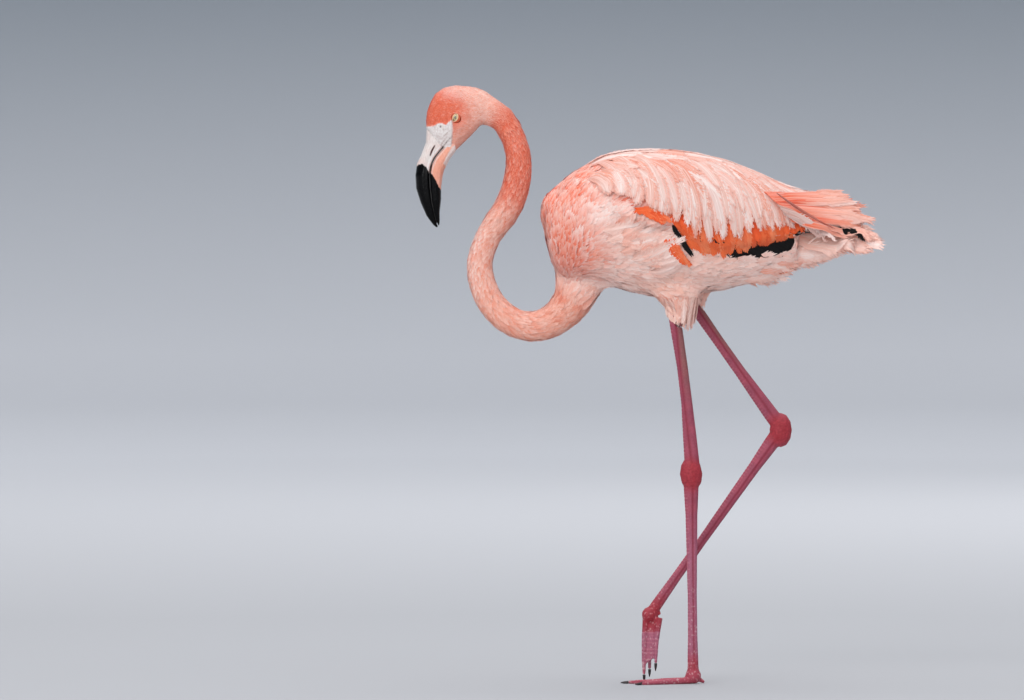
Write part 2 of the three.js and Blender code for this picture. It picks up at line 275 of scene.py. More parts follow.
def fused(nodes, voxel, rounds, grow=GROW):
    """One smooth closed surface round several solids, as a mesh."""
    points, triangles = stacked([welded(node, grow) for node in nodes])
    rough_piece = object_from("fusing", mesh_from("fusing", points, triangles))
    remesh = rough_piece.modifiers.new("Remesh", "REMESH")
    remesh.mode = "VOXEL"
    remesh.voxel_size = voxel
    mesh = taken_from(rough_piece)
    reshape(mesh, relaxed(points_of(mesh), edges_of(mesh), rounds))
    return mesh


def reshape(mesh, points):
    mesh.vertices.foreach_set("co", np.asarray(points, np.float32).ravel())
    mesh.update()


# ---- Material building ----

class Shader:
    """A material's node tree with short calls for the nodes this bird needs."""

    def __init__(self, name, roughness, specular=0.35, sheen=0.0, coat=0.0):
        self.material = bpy.data.materials.new(name)
        self.material.use_nodes = True
        self.tree = self.material.node_tree
        self.surface = self.tree.nodes["Principled BSDF"]
        self.surface.inputs["Roughness"].default_value = roughness
        self.surface.inputs["Specular IOR Level"].default_value = specular
        self.surface.inputs["Sheen Weight"].default_value = sheen
        self.surface.inputs["Coat Weight"].default_value = coat
        self.surface.inputs["Coat Roughness"].default_value = 0.08

    def node(self, kind, inputs=(), **settings):
        made = self.tree.nodes.new(kind)
        for key, value in settings.items():
            setattr(made, key, value)
        for key, value in dict(inputs).items():
            self.give(made.inputs[key], value)
        return made

    def give(self, socket, value):
        if isinstance(value, bpy.types.NodeSocket):
            self.tree.links.new(value, socket)
        else:
            socket.default_value = value

    def attribute(self, name, output="Fac"):
        return self.node("ShaderNodeAttribute", attribute_name=name).outputs[output]

    def place(self):
        return self.node("ShaderNodeTexCoord").outputs["Object"]

    def scaled(self, vector, scale):
        return self.node("ShaderNodeMapping", {"Vector": vector, "Scale": scale}).outputs["Vector"]

    def noise(self, vector, scale, detail=3.0, rough_share=0.5):
        return self.node("ShaderNodeTexNoise", {"Vector": vector, "Scale": scale, "Detail": detail,
                                                "Roughness": rough_share}).outputs["Fac"]

    def math(self, operation, a, b=0.0, c=0.0):
        made = self.node("ShaderNodeMath", {0: a, 1: b, 2: c}, operation=operation)
        return made.outputs["Value"]

    def ranged(self, value, low, high, to_low=0.0, to_high=1.0):
        return self.node("ShaderNodeMapRange", {"Value": value, "From Min": low, "From Max": high,
                                                "To Min": to_low, "To Max": to_high}).outputs["Result"]

    def mix(self, share, a, b, blend="MIX"):
        made = self.node("ShaderNodeMix", data_type="RGBA", blend_type=blend)
        self.give(made.inputs["Factor"], share)
        self.give(made.inputs[6], a)
        self.give(made.inputs[7], b)
        return made.outputs[2]

    def colour(self, value):
        self.give(self.surface.inputs["Base Color"], value)

    def roughness(self, value):
        self.give(self.surface.inputs["Roughness"], value)

    def bump(self, height, strength, distance):
        made = self.node("ShaderNodeBump", {"Height": height, "Strength": strength, "Distance": distance})
        self.give(self.surface.inputs["Normal"], made.outputs["Normal"])


# ---- The bird's own places ----

HEAD_ABOVE = 0.69  # no lower point belongs to the head
# From where the bare leg fades in to where all is bare, as heights.
LEG_TOPS = {"left": (0.4985, 0.4965), "right": (0.5120, 0.5085)}


def curve_through(points, count):
    """Evenly numbered places along a smooth line through the given points."""
    points = np.asarray(points, float)
    padded = np.vstack([2 * points[0] - points[1], points, 2 * points[-1] - points[-2]])
    spans = len(points) - 1
    at = np.linspace(0, spans, count)
    first = np.minimum(at.astype(int), spans - 1)
    t = (at - first)[:, None]
    a, b, c, d = (padded[first + k] for k in range(4))
    return 0.5 * (2 * b + (c - a) * t + (2 * a - 5 * b + 4 * c - d) * t ** 2
                  + (3 * b - a - 3 * c + d) * t ** 3)


NECK = curve_through(NECK_LINE, 240)
NECK_STEPS = np.concatenate([[0], np.cumsum(np.linalg.norm(np.diff(NECK, axis=0), axis=1))])
NECK_STEPS /= NECK_STEPS[-1]
NECK_WAY = unit(np.gradient(NECK, axis=0))


class Neck:
    """Where points are along the neck: share 0 at the head and 1 inside the breast."""

    def __init__(self, points):
        flat = points[:, [0, 2]]
        nearest = np.empty(len(points), int)
        for start in range(0, len(points), 20000):
            part = flat[start:start + 20000]
            gaps = ((part[:, None, :] - NECK[None, :, :]) ** 2).sum(axis=2)
            nearest[start:start + 20000] = gaps.argmin(axis=1)
        self.share = NECK_STEPS[nearest]
        offset = flat - NECK[nearest]
        self.way = NECK_WAY[nearest]
        self.distance = np.sqrt((offset ** 2).sum(axis=1) + points[:, 1] ** 2)
        # Above 0 on the nape's side of the middle line, and below 0 on the throat's.
        self.nape = offset[:, 0] * -self.way[:, 1] + offset[:, 1] * self.way[:, 0]


def bare_face(points):
    """1 on the face's bare skin, in front of the feathers, and 0 behind their edge."""
    x, z = points[:, 0], points[:, 2]
    ragged = 0.0006 * rough(points, 0.0030, 4.0)
    brow, cheek = np.array(BROW), np.array(CHEEK)
    below = smooth(-0.0005, 0.0005, np.interp(x, brow[:, 0], brow[:, 1]) + ragged - z)
    ahead = smooth(-0.0005, 0.0005, np.interp(z, cheek[:, 1], cheek[:, 0]) + ragged - x)
    return below * ahead


def bill_share(points):
    """1 on the bill, in front of the line where its horn begins, and 0 on the head."""
    x, z = points[:, 0], points[:, 2]
    line = np.array(BILL_START)
    return smooth(0, 0.0030, np.interp(x, line[:, 0], line[:, 1]) - z) * (x < -0.2575)


def from_lids(points):
    """How far outside the lids' opening each point is, in the side view."""
    centre = eye_centre("left")
    x, z = points[:, 0] - centre[0], points[:, 2] - centre[2]
    return np.hypot(x, z) - lid_outline(np.arctan2(z, x))


def fold_share(points):
    """1 along the folds in front of the gape, and 0 away from them."""
    share = np.zeros(len(points))
    for fold in FOLDS:
        away, along = distance_to_line(points, fold, 40)
        share = np.maximum(share, np.exp(-(away / 0.0006) ** 2) * np.sin(np.pi * np.clip(along, 0.02, 0.98)))
    return share


def region(points):
    """Shares from 0 to 1 of each feathered part, and of the bare ones, at each point."""
    neck = Neck(points)
    x, z = points[:, 0], points[:, 2]
    head = smooth(0.115, 0.075, neck.share) * (z > HEAD_ABOVE)
    on_neck = smooth(0.052, 0.040, neck.distance) * smooth(0.90, 0.80, neck.share) * (1 - head)
    gaps = {side: leg_places(points, side)[3] for side in SIDES}
    leg = np.maximum(*(smooth(0.015, 0.012, gaps[side]) * smooth(*LEG_TOPS[side], z) for side in SIDES))
    leg = np.maximum(leg, z < 0.477) * (x > -0.03)
    bill = bill_share(points)
    bare = np.maximum(bare_face(points) * head, bill)
    body = np.clip(1 - head - on_neck, 0, 1) * (1 - leg) * (bill == 0)
    return {"head": head, "neck": on_neck, "body": body, "leg": leg, "bare": bare, "bill": bill,
            "line": neck}


# ---- Skin ----

LEGS = {
    # hip, ankle and the joint of the toes, as (x, y, z)
    "left": [(0.0304, -0.027, 0.523), (0.0574, -0.020, 0.283), (0.0604, -0.014, 0.0105)],
    "right": [(0.0404, 0.027, 0.541), (0.1799, 0.036, 0.341), (0.0024, 0.032, 0.091)],
}
SCUTE_PITCH = 0.0046  # from one plate of the leg's front to the next
GROOVE_TURN = 107  # the groove down the leg's side, in degrees round from its front


def leg_places(points, side):
    """The part of the leg, the distance down it in metres and the turn round it from its front."""
    hip, ankle, ball = (np.array(p) for p in LEGS[side])
    best = None
    for index, (top, low) in enumerate(((hip, ankle), (ankle, ball))):
        axis = low - top
        length = np.linalg.norm(axis)
        axis /= length
        down = (points - top) @ axis
        out = points - top - down[:, None] * axis
        gap = np.linalg.norm(out, axis=1) + np.abs(down - np.clip(down, 0, length)) * 3
        front = np.array([-1.0, 0, 0]) + axis * axis[0]
        front /= np.linalg.norm(front)
        side_way = np.cross(axis, front)
        turn = np.degrees(np.arctan2(np.abs(out @ side_way), out @ front))
        found = np.stack([np.full(len(points), index, float), down, turn, gap], axis=1)
        best = found if best is None else np.where((found[:, 3] < best[:, 3])[:, None], found, best)
    return best[:, 0], best[:, 1], best[:, 2], best[:, 3]


def leg_relief(points, side):
    """How far the leg's scutes and grooves stand out from its smooth surface."""
    _, down, turn, _ = leg_places(points, side)
    joint = np.min([np.linalg.norm(points - np.array(p), axis=1) for p in LEGS[side][1:]], axis=0)
    plain = smooth(0.016, 0.026, joint)
    step = (down / SCUTE_PITCH) % 1.0
    scute = smooth(0, 0.25, step) * smooth(1.0, 0.85, step) * smooth(62, 45, turn)
    groove = np.exp(-((turn - GROOVE_TURN) / 13) ** 2)
    knuckle = smooth(0.024, 0.012, joint) * rough(points, 0.0032, 2.0)
    return 0.00033 * scute * plain - 0.0008 * groove * plain + 0.00035 * knuckle


def leg_colours(points, side):
    part, down, turn, _ = leg_places(points, side)
    ankle, ball = (np.linalg.norm(points - np.array(p), axis=1) for p in LEGS[side][1:])
    patches = rough(points, 0.011, 7.0)
    fine = rough(points, 0.0024, 3.0)
    colour = toned(srgb("#a04a60"), "#b05064", smooth(-0.6, 0.7, patches))
    colour = toned(colour, "#b3708a", 0.55 * smooth(0.26, 0.16, points[:, 2]) * (side == "left"))
    olive = smooth(95, 140, turn) * (part == 0) * smooth(0.17, 0.08, down)
    colour = toned(colour, "#8a6a5c", 0.55 * olive)
    # Painted shade in the groove down the leg's side.
    colour = toned(colour, "#8e2038", 0.85 * np.exp(-((turn - GROOVE_TURN) / 15) ** 2))
    colour = toned(colour, "#c2455a", 0.6 * smooth(30, 12, turn))
    step = (down / SCUTE_PITCH) % 1.0
    edge = smooth(0.16, 0.0, np.minimum(step, 1 - step)) * smooth(60, 40, turn)
    colour = toned(colour, "#d98f98", 0.55 * edge)
    red = np.maximum(smooth(0.030, 0.014, ankle), smooth(0.040, 0.012, ball) * 0.9)
    colour = mixed(colour, toned(srgb("#a0222e"), "#b8323c", smooth(-0.5, 0.6, fine)), 0.88 * red)
    foot = smooth(0.030, 0.006, points[:, 2]) if side == "left" else smooth(0.080, 0.045, points[:, 2])
    colour = toned(colour, "#b04a5c", 0.8 * foot)
    salt = smooth(0.25, 0.6, fine) * smooth(0.20, 0.03, points[:, 2])
    return toned(colour, "#e6c9cb", 0.6 * salt)


BODY_COAT = 0.0055  # the depth of the small feathers on the body


def coat_depth(points, parts):
    """How deep under the outline the skin lies, at each point."""
    neck = parts["line"]
    throat = smooth(0.002, -0.010, neck.nape)
    throat = throat * smooth(0.08, 0.16, neck.share) * smooth(0.42, 0.34, neck.share)
    on_head = 0.0010 + 0.0012 * smooth(0.03, 0.13, neck.share) + 0.0008 * smooth(0.26, 0.40, neck.share)
    on_head = on_head * (1 - 0.75 * throat)
    depth = BODY_COAT * parts["body"] + on_head * np.clip(parts["head"] + parts["neck"], 0, 1)
    depth = np.maximum(depth, on_head * (parts["head"] + parts["neck"] > 0.5))
    depth *= 1 - parts["bare"]
    depth *= smooth(0.0012, 0.0050, from_lids(points))
    line = np.array(BILL_START)
    past = np.interp(points[:, 0], line[:, 0], line[:, 1]) - points[:, 2]
    return depth * (1 - parts["leg"]) + (0.0007 + 0.0024 * smooth(0.003, 0.009, past)) * parts["bill"]


def eye_centre(side):
    low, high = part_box(f"eye_{side}")
    return np.array((low + high) / 2)


def eye_radius():
    low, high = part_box("eye_left")
    return (high.z - low.z) / 2


def tree_of(mesh):
    points = points_of(mesh)
    loops = read(mesh.loops, "vertex_index", 1, np.int32)
    starts = read(mesh.polygons, "loop_start", 1, np.int32)
    totals = read(mesh.polygons, "loop_total", 1, np.int32)
    faces = [loops[s:s + t].tolist() for s, t in zip(starts, totals)]
    return BVHTree.FromPolygons(points.tolist(), faces)


DEEP = 0.0015  # a shallower coat than this fits anywhere
FAR_SIDE = 0.03  # how far below the surface its other side is looked for
MOST_DRAWN = 0.36  # the most that the skin moves in, as a share of the thickness there


def drawn_in(mesh, depth, rounds=2):
    """The surface moved inwards, by less where the shape is too thin for that."""
    points, normals = points_of(mesh), normals_of(mesh)
    tree = tree_of(mesh)
    room = np.full(len(points), 1.0)
    for index in np.flatnonzero(depth > DEEP):
        start = Vector(points[index] - normals[index] * 1e-4)
        _, _, _, distance = tree.ray_cast(start, Vector(-normals[index]), FAR_SIDE)
        if distance is not None:
            room[index] = distance
    depth = np.minimum(depth, room * MOST_DRAWN)
    edges = edges_of(mesh)
    for _ in range(4):
        total = np.bincount(edges[:, 0], depth[edges[:, 1]], len(depth))
        total += np.bincount(edges[:, 1], depth[edges[:, 0]], len(depth))
        degree = np.maximum(np.bincount(edges.ravel(), minlength=len(depth)), 1)
        depth = np.minimum(depth, 0.5 * depth + 0.5 * total / degree)
    moved = points - normals * (depth + GROW)[:, None]
    reshape(mesh, relaxed(moved, edges, rounds))


def united(meshes):
    """Closed meshes that overlap, as one closed surface."""
    base = object_from("uniting", meshes[0])
    others = [object_from("other", mesh) for mesh in meshes[1:]]
    for other in others:
        join = base.modifiers.new("Join", "BOOLEAN")
        join.operation = "UNION"
        join.solver = "MANIFOLD"
        join.object = other
    mesh = taken_from(base)
    for other in others:
        bpy.data.objects.remove(other)
    return mesh


# How many times each fused part is smoothed: enough to lose the solids' facets and no more.
HEAD_ROUNDS, BODY_ROUNDS, LEG_ROUNDS, BILL_ROUNDS, CLAW_ROUNDS = 26, 14, 6, 12, 3


def make_skin(settings):
    """One closed skin: body, head and legs smoothed, drawn in by the coat's depth and joined."""
    upper = ["head", "neck_top", "bill_upper", "bill_lower"]
    body_nodes = NECK_NODES + ["trunk", "wing_left", "wing_right", "thigh_left", "thigh_right"]
    head = fused(upper, settings.face_voxel, HEAD_ROUNDS)
    body = fused(body_nodes, settings.body_voxel, BODY_ROUNDS)
    for mesh in (head, body):
        points = points_of(mesh)
        drawn_in(mesh, coat_depth(points, region(points)))
    points = points_of(head)
    crease = fold_share(points) * bare_face(points)
    reshape(head, points - normals_of(head) * (0.0007 * crease)[:, None])
    legs = []
    for side in SIDES:
        nodes = [f"{name}_{side}" for name in ("shank", "ankle", "tarsus", "foot")]
        leg = fused(nodes, settings.leg_voxel, LEG_ROUNDS)
        points, normals = points_of(leg), normals_of(leg)
        points = points + normals * (leg_relief(points, side) - GROW)[:, None]
        points[:, 2] = np.maximum(points[:, 2], 0.0)
        reshape(leg, points)
        legs.append(leg)
    mesh = united([body, head] + legs)
    mesh.materials.clear()
    skin = object_from("skin", mesh)
    points = points_of(mesh)
    parts = region(points)
    root, tip = markings(points, parts)
    colour = mixed(root, tip, np.full(len(points), 0.5))
    # The bent leg crosses behind the other, so each point belongs to the leg that is nearer.
    gaps = {side: leg_places(points, side)[3] for side in SIDES}
    for side, other in (("left", "right"), ("right", "left")):
        on_it = (parts["leg"] > 0) & (gaps[side] <= gaps[other])
        if on_it.any():
            shade = leg_colours(points[on_it], side)
            colour[on_it] = mixed(colour[on_it], shade, parts["leg"][on_it])
    bare = parts["bare"] > 0
    colour[bare] = mixed(colour[bare], face_colours(points[bare]), parts["bare"][bare])
    store(mesh, "tint", "FLOAT_COLOR", colour)
    store(mesh, "leg", "FLOAT", parts["leg"])
    store(mesh, "bare", "FLOAT", parts["bare"])
    mesh.materials.append(skin_material())
    return skin


SPECKS = [(-0.2803, 0.7515, 0.0010, 1.6), (-0.2900, 0.7535, 0.0008, 0.7)]  # (x, z, size, depth of tone)


def face_colours(points):
    """The bare face: chalky white, with a few specks, and painted shade: a little grey and pink in its
    folds, a darker line where the feathers end and a dark one along the mouth's line.
    """
    cloud = rough(points, 0.006, 5.0)
    x, z = points[:, 0], points[:, 2]
    colour = toned(srgb("#eae5e1"), "#d6ccc7", smooth(0.1, 1.0, cloud))
    colour = toned(colour, "#dcc29a", 0.30 * smooth(0.35, 0.8, rough(points, 0.0045, 9.0)))
    # Painted shade in the folds in front of the gape: greyer and darker where they sink in.
    colour = toned(colour, "#a98a80", 0.75 * fold_share(points))
    cheek = np.array(CHEEK)
    # Painted shade: a darker line on the bare skin where the cheek's feathers end over it.
    edge = np.exp(-((np.interp(z, cheek[:, 1], cheek[:, 0]) - x) / 0.0011) ** 2)
    colour = toned(colour, "#b97f6c", 0.7 * edge)
    lip, _ = distance_to_line(points, MOUTH_LINE)
    # Painted shade: a dark line on the bare skin along the gap between the jaws.
    colour = toned(colour, "#4a302b", 0.9 * np.exp(-(lip / 0.00055) ** 2))
    # Near-black on the skin under the horn: painted shade where it shows in the gap between the jaws, and
    # below 0.700 the black of the bill's end.
    inside = np.exp(-(lip / 0.0016) ** 2) * smooth(0.5, 1.0, bill_share(points)) + (z < 0.700)
    colour = toned(colour, "#100c0d", np.clip(inside, 0, 1))
    for speck_x, speck_z, size, depth in SPECKS:
        speck = np.exp(-(((x - speck_x) / size) ** 2 + ((z - speck_z) / size) ** 2))
        colour = toned(colour, "#4a2c24", np.clip(depth * speck, 0, 1))
    return colour


def skin_material():
    shader = Shader("leg_and_face_skin", 0.55, specular=0.4)
    place = shader.place()
    tint = shader.attribute("tint", "Color")
    mottle = shader.noise(place, 420.0, 4.0, 0.6)
    darker = shader.mix(1.0, tint, (0.80, 0.72, 0.72, 1), "MULTIPLY")
    shader.colour(shader.mix(shader.ranged(mottle, 0.38, 0.68), darker, tint))
    scales = shader.node("ShaderNodeTexVoronoi", {"Vector": place, "Scale": 620.0},
                         feature="DISTANCE_TO_EDGE").outputs["Distance"]
    plates = shader.ranged(scales, 0.0, 0.12)
    wrinkles = shader.noise(shader.scaled(place, (1.0, 1.0, 0.35)), 520.0, 5.0, 0.6)
    on_leg = shader.attribute("leg")
    height = shader.math("ADD", shader.math("MULTIPLY", plates, on_leg), wrinkles)
    shader.bump(height, 0.5, 0.00035)
    shader.roughness(shader.ranged(mottle, 0.3, 0.8, 0.45, 0.68))
    return shader.material


# ---- Markings, shared by the skin and the coat ----

def head_markings(points, soft):
    """Orange-red from the forehead to the eye, pale on the cheek with painted light added, and a painted
    highlight along the top of the crown.
    """
    x, z = points[:, 0], points[:, 2]
    crown = np.exp(-(((x + 0.280) / 0.034) ** 2 + ((z - 0.772) / 0.030) ** 2) ** 1.5)
    # Pale pink of the cheek and the head outside the crown: partly the feathers' own colour, partly painted
    # light that lifts the downward-facing cheek out of its shade.
    cheek = toned(srgb("#ffcbb9"), "#ffded3", smooth(-0.5, 0.8, soft))
    # Painted highlight: the top of the crown whitened where light from above falls on it.
    pale_top = smooth(0.780, 0.801, z) * smooth(-0.292, -0.264, x)
    tips = toned(cheek, "#f68a66", np.clip(crown * 1.25, 0, 1))
    tips = toned(tips, "#fee9e1", 0.92 * pale_top)
    strokes = rough(points * [1.0, 1.0, 0.6], 0.0036, 12.0)
    tips = toned(tips, "#fbc4b0", 0.55 * smooth(0.05, 0.6, strokes))
    tips = toned(tips, "#e0562f", 0.60 * smooth(0.10, 0.6, -strokes) * np.clip(crown + 0.12, 0, 1))
    roots = np.tile(srgb("#f8b49e"), (len(points), 1))
    return toned(roots, "#e9694a", np.clip(crown * 1.3, 0, 1)), tips


def neck_markings(neck, soft, fine):
    """Deep salmon above, paler below, and whitish on the throat's side of the lower bend."""
    share = neck.share
    upper = smooth(0.36, 0.24, share)
    tips = toned(srgb("#fed6c8"), "#f89c82", upper)
    tips = toned(tips, "#fbc2ae", smooth(0.50, 0.66, share))
    tips = toned(tips, "#f07f5f", 0.6 * upper * smooth(-0.2, 0.7, fine))
    tips = toned(tips, "#f39176", 0.5 * (1 - upper) * smooth(0.05, 0.6, fine))
    throat_side = smooth(0.002, -0.010, neck.nape)
    whitish = smooth(0.36, 0.40, share) * smooth(0.56, 0.50, share) * throat_side
    tips = toned(tips, "#fde8e1", 0.85 * whitish)
    tips = toned(tips, "#fddbcf", 0.5 * smooth(0.0, 0.9, soft))
    return toned(srgb("#f7b39d"), "#e2694b", upper), tips


def body_markings(points, soft, fine):
    """Orange and white scallops on the breast and shoulder, whiter on the flank and belly, partly as painted
    light low down.
    """
    x, z = points[:, 0], points[:, 2]
    breast = smooth(-0.035, -0.100, x) * smooth(0.53, 0.58, z)
    low = smooth(0.585, 0.545, z)
    patches = rough(points, 0.020, 14.0)
    tips = toned(srgb("#fdebe4"), "#fbd9cd", smooth(-0.5, 0.6, soft))
    # Low on the body: the belly's and lower flank's paler feathers, and painted light from the floor that
    # lifts the underside out of its shade.
    tips = toned(tips, "#ffe2d6", 0.7 * low)
    tips = toned(tips, "#f4b5a2", 0.8 * breast)
    tips = toned(tips, "#f08a6c", 0.65 * breast * smooth(0.05, 0.5, fine))
    tips = toned(tips, "#fdeee8", 0.7 * breast * smooth(0.10, 0.5, -fine))
    tips = toned(tips, "#f8b49e", 0.5 * (1 - breast) * smooth(0.10, 0.6, patches))
    fan = np.exp(-(((x + 0.066) / 0.030) ** 2 + ((z - 0.622) / 0.024) ** 2) ** 1.5)
    tips = toned(tips, "#fdefe9", 0.8 * fan)
    peach = np.exp(-(((x - 0.006) / 0.035) ** 2 + ((z - 0.535) / 0.022) ** 2))
    tips = toned(tips, "#f9bda5", 0.8 * peach)
    roots = toned(srgb("#f8cbbb"), "#ea6f4e", np.clip(breast * 0.9 + 0.1 * smooth(0, 0.6, fine), 0, 1))
    # The same paler feathers and painted light from the floor, on the roots low down.
    roots = toned(roots, "#f8d3c8", 0.6 * low * (1 - breast))
    roots = toned(roots, "#fadacf", 0.7 * fan)
    under = smooth(0.06, 0.16, x) * smooth(0.60, 0.57, z)
    tips = toned(tips, "#fbd7cb", 0.5 * under)
    streaks = under * smooth(0.15, 0.55, rough(points, 0.009, 16.0))
    tips = toned(tips, "#f0805f", 0.7 * (streaks * smooth(0.568, 0.552, z - 0.13 * (x - 0.10))))
    bend = bend_patch(points)
    throat = np.exp(-(((x + 0.108) / 0.016) ** 2 + ((z - 0.556) / 0.020) ** 2))
    tips = toned(toned(tips, "#ef6a3b", bend), "#ee8063", 0.6 * throat)
    roots = toned(toned(roots, "#e04f28", bend), "#de5f43", 0.7 * throat)
    return roots, tips


def bend_patch(points):
    """1 in the strokes of orange-red small coverts at the wing's bend, which run back and down."""
    x, z = points[:, 0], points[:, 2]
    across = (x + 0.014) * 0.41 + (z - 0.634) * 0.91
    along = (x + 0.014) * 0.91 - (z - 0.634) * 0.41
    patch = np.exp(-((along / 0.040) ** 4 + (across / 0.0105) ** 2))
    return patch * smooth(-0.7, 0.1, rough(points, 0.006, 18.0))


def markings(points, parts):
    """The colour at a feather's root and at its tip, for each point on the bird."""
    soft = rough(points, 0.045, 1.0)
    fine = rough(points, 0.013, 6.0)
    above = np.clip(parts["neck"] + parts["head"], 0, 1)
    on_head = parts["head"] * smooth(0.075, 0.012, parts["line"].share)
    both = zip(body_markings(points, soft, fine), neck_markings(parts["line"], soft, fine),
               head_markings(points, soft))
    return [mixed(mixed(body, neck, above), head, on_head) for body, neck, head in both]


# ---- Bill, eyes and claws ----

# The edge between the jaws, from the gape to the tip, as (x, z).
MOUTH_LINE = [(-0.2668, 0.7365), (-0.2768, 0.7243), (-0.2841, 0.7155), (-0.2901, 0.7067),
              (-0.2937, 0.6980), (-0.2952, 0.6905), (-0.2952, 0.6743), (-0.2930, 0.6527),
              (-0.2901, 0.6378), (-0.2855, 0.6203)]
JAW_REAR = [(-0.2611, 0.7212), (-0.2665, 0.7120), (-0.2712, 0.7020)]  # the lower jaw's white rear edge
NOSTRIL = [(-0.2880, 0.7258), (-0.2918, 0.7190), (-0.2942, 0.7122)]
# Where the horn turns black, as heights of the edge along the upper jaw and the lower one.
BLACK_UPPER = [(-0.3130, 0.6980), (-0.3060, 0.7024), (-0.2995, 0.6965), (-0.2950, 0.6880)]
BLACK_LOWER = [(-0.2935, 0.6892), (-0.2870, 0.6804), (-0.2827, 0.6703), (-0.2797, 0.6658)]


def distance_to_line(points, line, count=120):
    """How far each point is from a line in the side view, and how far along the line."""
    dense = curve_through(line, count)
    gaps = ((points[:, None, [0, 2]] - dense[None]) ** 2).sum(axis=2)
    nearest = gaps.argmin(axis=1)
    return np.sqrt(gaps[np.arange(len(points)), nearest]), nearest / (count - 1)


HORN_GROW = 0.00015  # how far a jaw's solid is grown before it is drawn back with its relief


def black_share(points, edge):
    """1 below the jagged edge where the horn turns black, and 0 above it."""
    xs, zs = np.array(edge).T
    spikes = 0.0016 * rough(points * [1.0, 0.6, 0.25], 0.0016, 2.0)
    border = np.interp(points[:, 0], xs, zs) + spikes
    return smooth(-0.0006, 0.0006, border - points[:, 2])


def bill_half(name, nodes, edge, base_colour, rim_colour, voxel):
    """One jaw in horn: its nostril or pale rear, its ridge, creases and black end, with painted shade in the
    nostril, the creases and the gap between the jaws, and a painted highlight on the ridge.
    """
    mesh = fused(nodes, voxel, BILL_ROUNDS, grow=HORN_GROW)
    points, normals = points_of(mesh), normals_of(mesh)
    slit, along = distance_to_line(points, NOSTRIL, 40)
    side_on = smooth(0.35, 0.75, np.abs(normals[:, 1]))
    width = 0.0011 * np.sin(np.pi * np.clip(along * 0.9 + 0.05, 0, 1)) ** 0.5 + 1e-5
    is_upper = name == "bill_upper_horn"
    nostril = np.exp(-(slit / width) ** 2) * side_on * is_upper
    lip, lip_at = distance_to_line(points, MOUTH_LINE)
    ridge = np.exp(-((lip - 0.0030) / 0.0012) ** 2) * smooth(0.75, 0.45, lip_at) * side_on
    grain = rough(points * [1.0, 1.0, 0.3], 0.0022, 1.0)
    creases = fold_share(points) * side_on
    relief = -0.0016 * nostril + 0.00035 * ridge + 0.00006 * grain - 0.0005 * creases
    reshape(mesh, points + normals * (relief - HORN_GROW)[:, None])
    # Painted shade in the gap between the jaws: how wide the dark line along the mouth is, from the gape to
    # the tip.
    gape = np.interp(lip_at, [0, 0.12, 0.3, 0.5, 0.62, 1.0],
                     [0.0003, 0.0005, 0.0007, 0.0005, 0.0003, 0.0003])
    mouth = smooth(1.25, 0.75, lip / gape)
    black = black_share(points, edge)
    cloud = rough(points, 0.012, 8.0)
    colour = mixed(base_colour, rim_colour, smooth(-0.2, 0.9, cloud))
    # Painted highlight along the raised ridge above the mouth's line.
    colour = toned(colour, "#f4f0ee", 0.6 * ridge)
    # Painted shade in the creases, greyer where they sink in.
    colour = toned(colour, "#b39a90", 0.55 * creases)
    if not is_upper:
        rear, _ = distance_to_line(points, JAW_REAR, 40)
        back = smooth(0.0060, 0.0030, rear + 0.0010 * rough(points, 0.005, 3.0))
        colour = toned(colour, "#efe6e2", 0.85 * back)
    colour = toned(colour, "#040405", black)
    # The gap's painted shade: near-black, and dark grey where the horn is black.
    dark_line = mixed(np.tile(srgb("#1d1113"), (len(points), 1)), srgb("#2c292b"), black)
    colour = mixed(colour, dark_line, mouth)
    # Painted shade in the carved nostril slit.
    colour = toned(colour, "#4a1c1a", np.clip(nostril * 1.6, 0, 1))
    store(mesh, "tint", "FLOAT_COLOR", colour)
    store(mesh, "black", "FLOAT", black)
    return handed_in(object_from(name, mesh), "horn", nodes)


def horn_material():
    shader = Shader("bill_horn", 0.35, specular=0.12)
    place = shader.place()
    tint = shader.attribute("tint", "Color")
    streak = shader.noise(shader.scaled(place, (1.0, 1.0, 0.25)), 900.0, 4.0, 0.6)
    dull = shader.mix(1.0, tint, (0.84, 0.79, 0.78, 1), "MULTIPLY")
    shader.colour(shader.mix(shader.ranged(streak, 0.35, 0.65), dull, tint))
    black = shader.attribute("black")
    shader.roughness(shader.math("ADD", shader.ranged(black, 0, 1, 0.42, 0.22),
                                 shader.ranged(streak, 0.3, 0.7, -0.05, 0.09)))
    shader.bump(streak, 0.35, 0.0002)
    return shader.material


def make_bill(settings):
    material = horn_material()
    upper = bill_half("bill_upper_horn", ["bill_upper"], BLACK_UPPER,
                      srgb("#e6ddd8"), srgb("#e8d0c8"), settings.bill_voxel)
    lower = bill_half("bill_lower_horn", ["bill_lower"], BLACK_LOWER,
                      srgb("#f2a88f"), srgb("#f4c0ae"), settings.bill_voxel)
    for piece in (upper, lower):
        piece.data.materials.append(material)


def lid_outline(turn):
    """The lids' opening at each turn round the eye: a leaning oval, drawn out to the tear corner."""
    long, short = 0.0044, 0.0026
    lean = turn - math.radians(72)
    oval = long * short / np.hypot(short * np.cos(lean), long * np.sin(lean))
    tear = np.exp(-((((turn - math.radians(228)) + math.pi) % (2 * math.pi) - math.pi) / 0.36) ** 2)
    return oval + 0.0016 * tear


def eye_frame(side):
    """The eye's own directions: out of the head, forwards along it and up."""
    out = Vector((-0.13, SIDES[side], 0.10)).normalized()
    up = (Vector((0, 0, 1)) - out * out.z).normalized()
    back = Vector((1, 0, 0)) - out * out.x
    back = (back - up * back.dot(up)).normalized()
    return np.array(out), np.array(back), np.array(up)


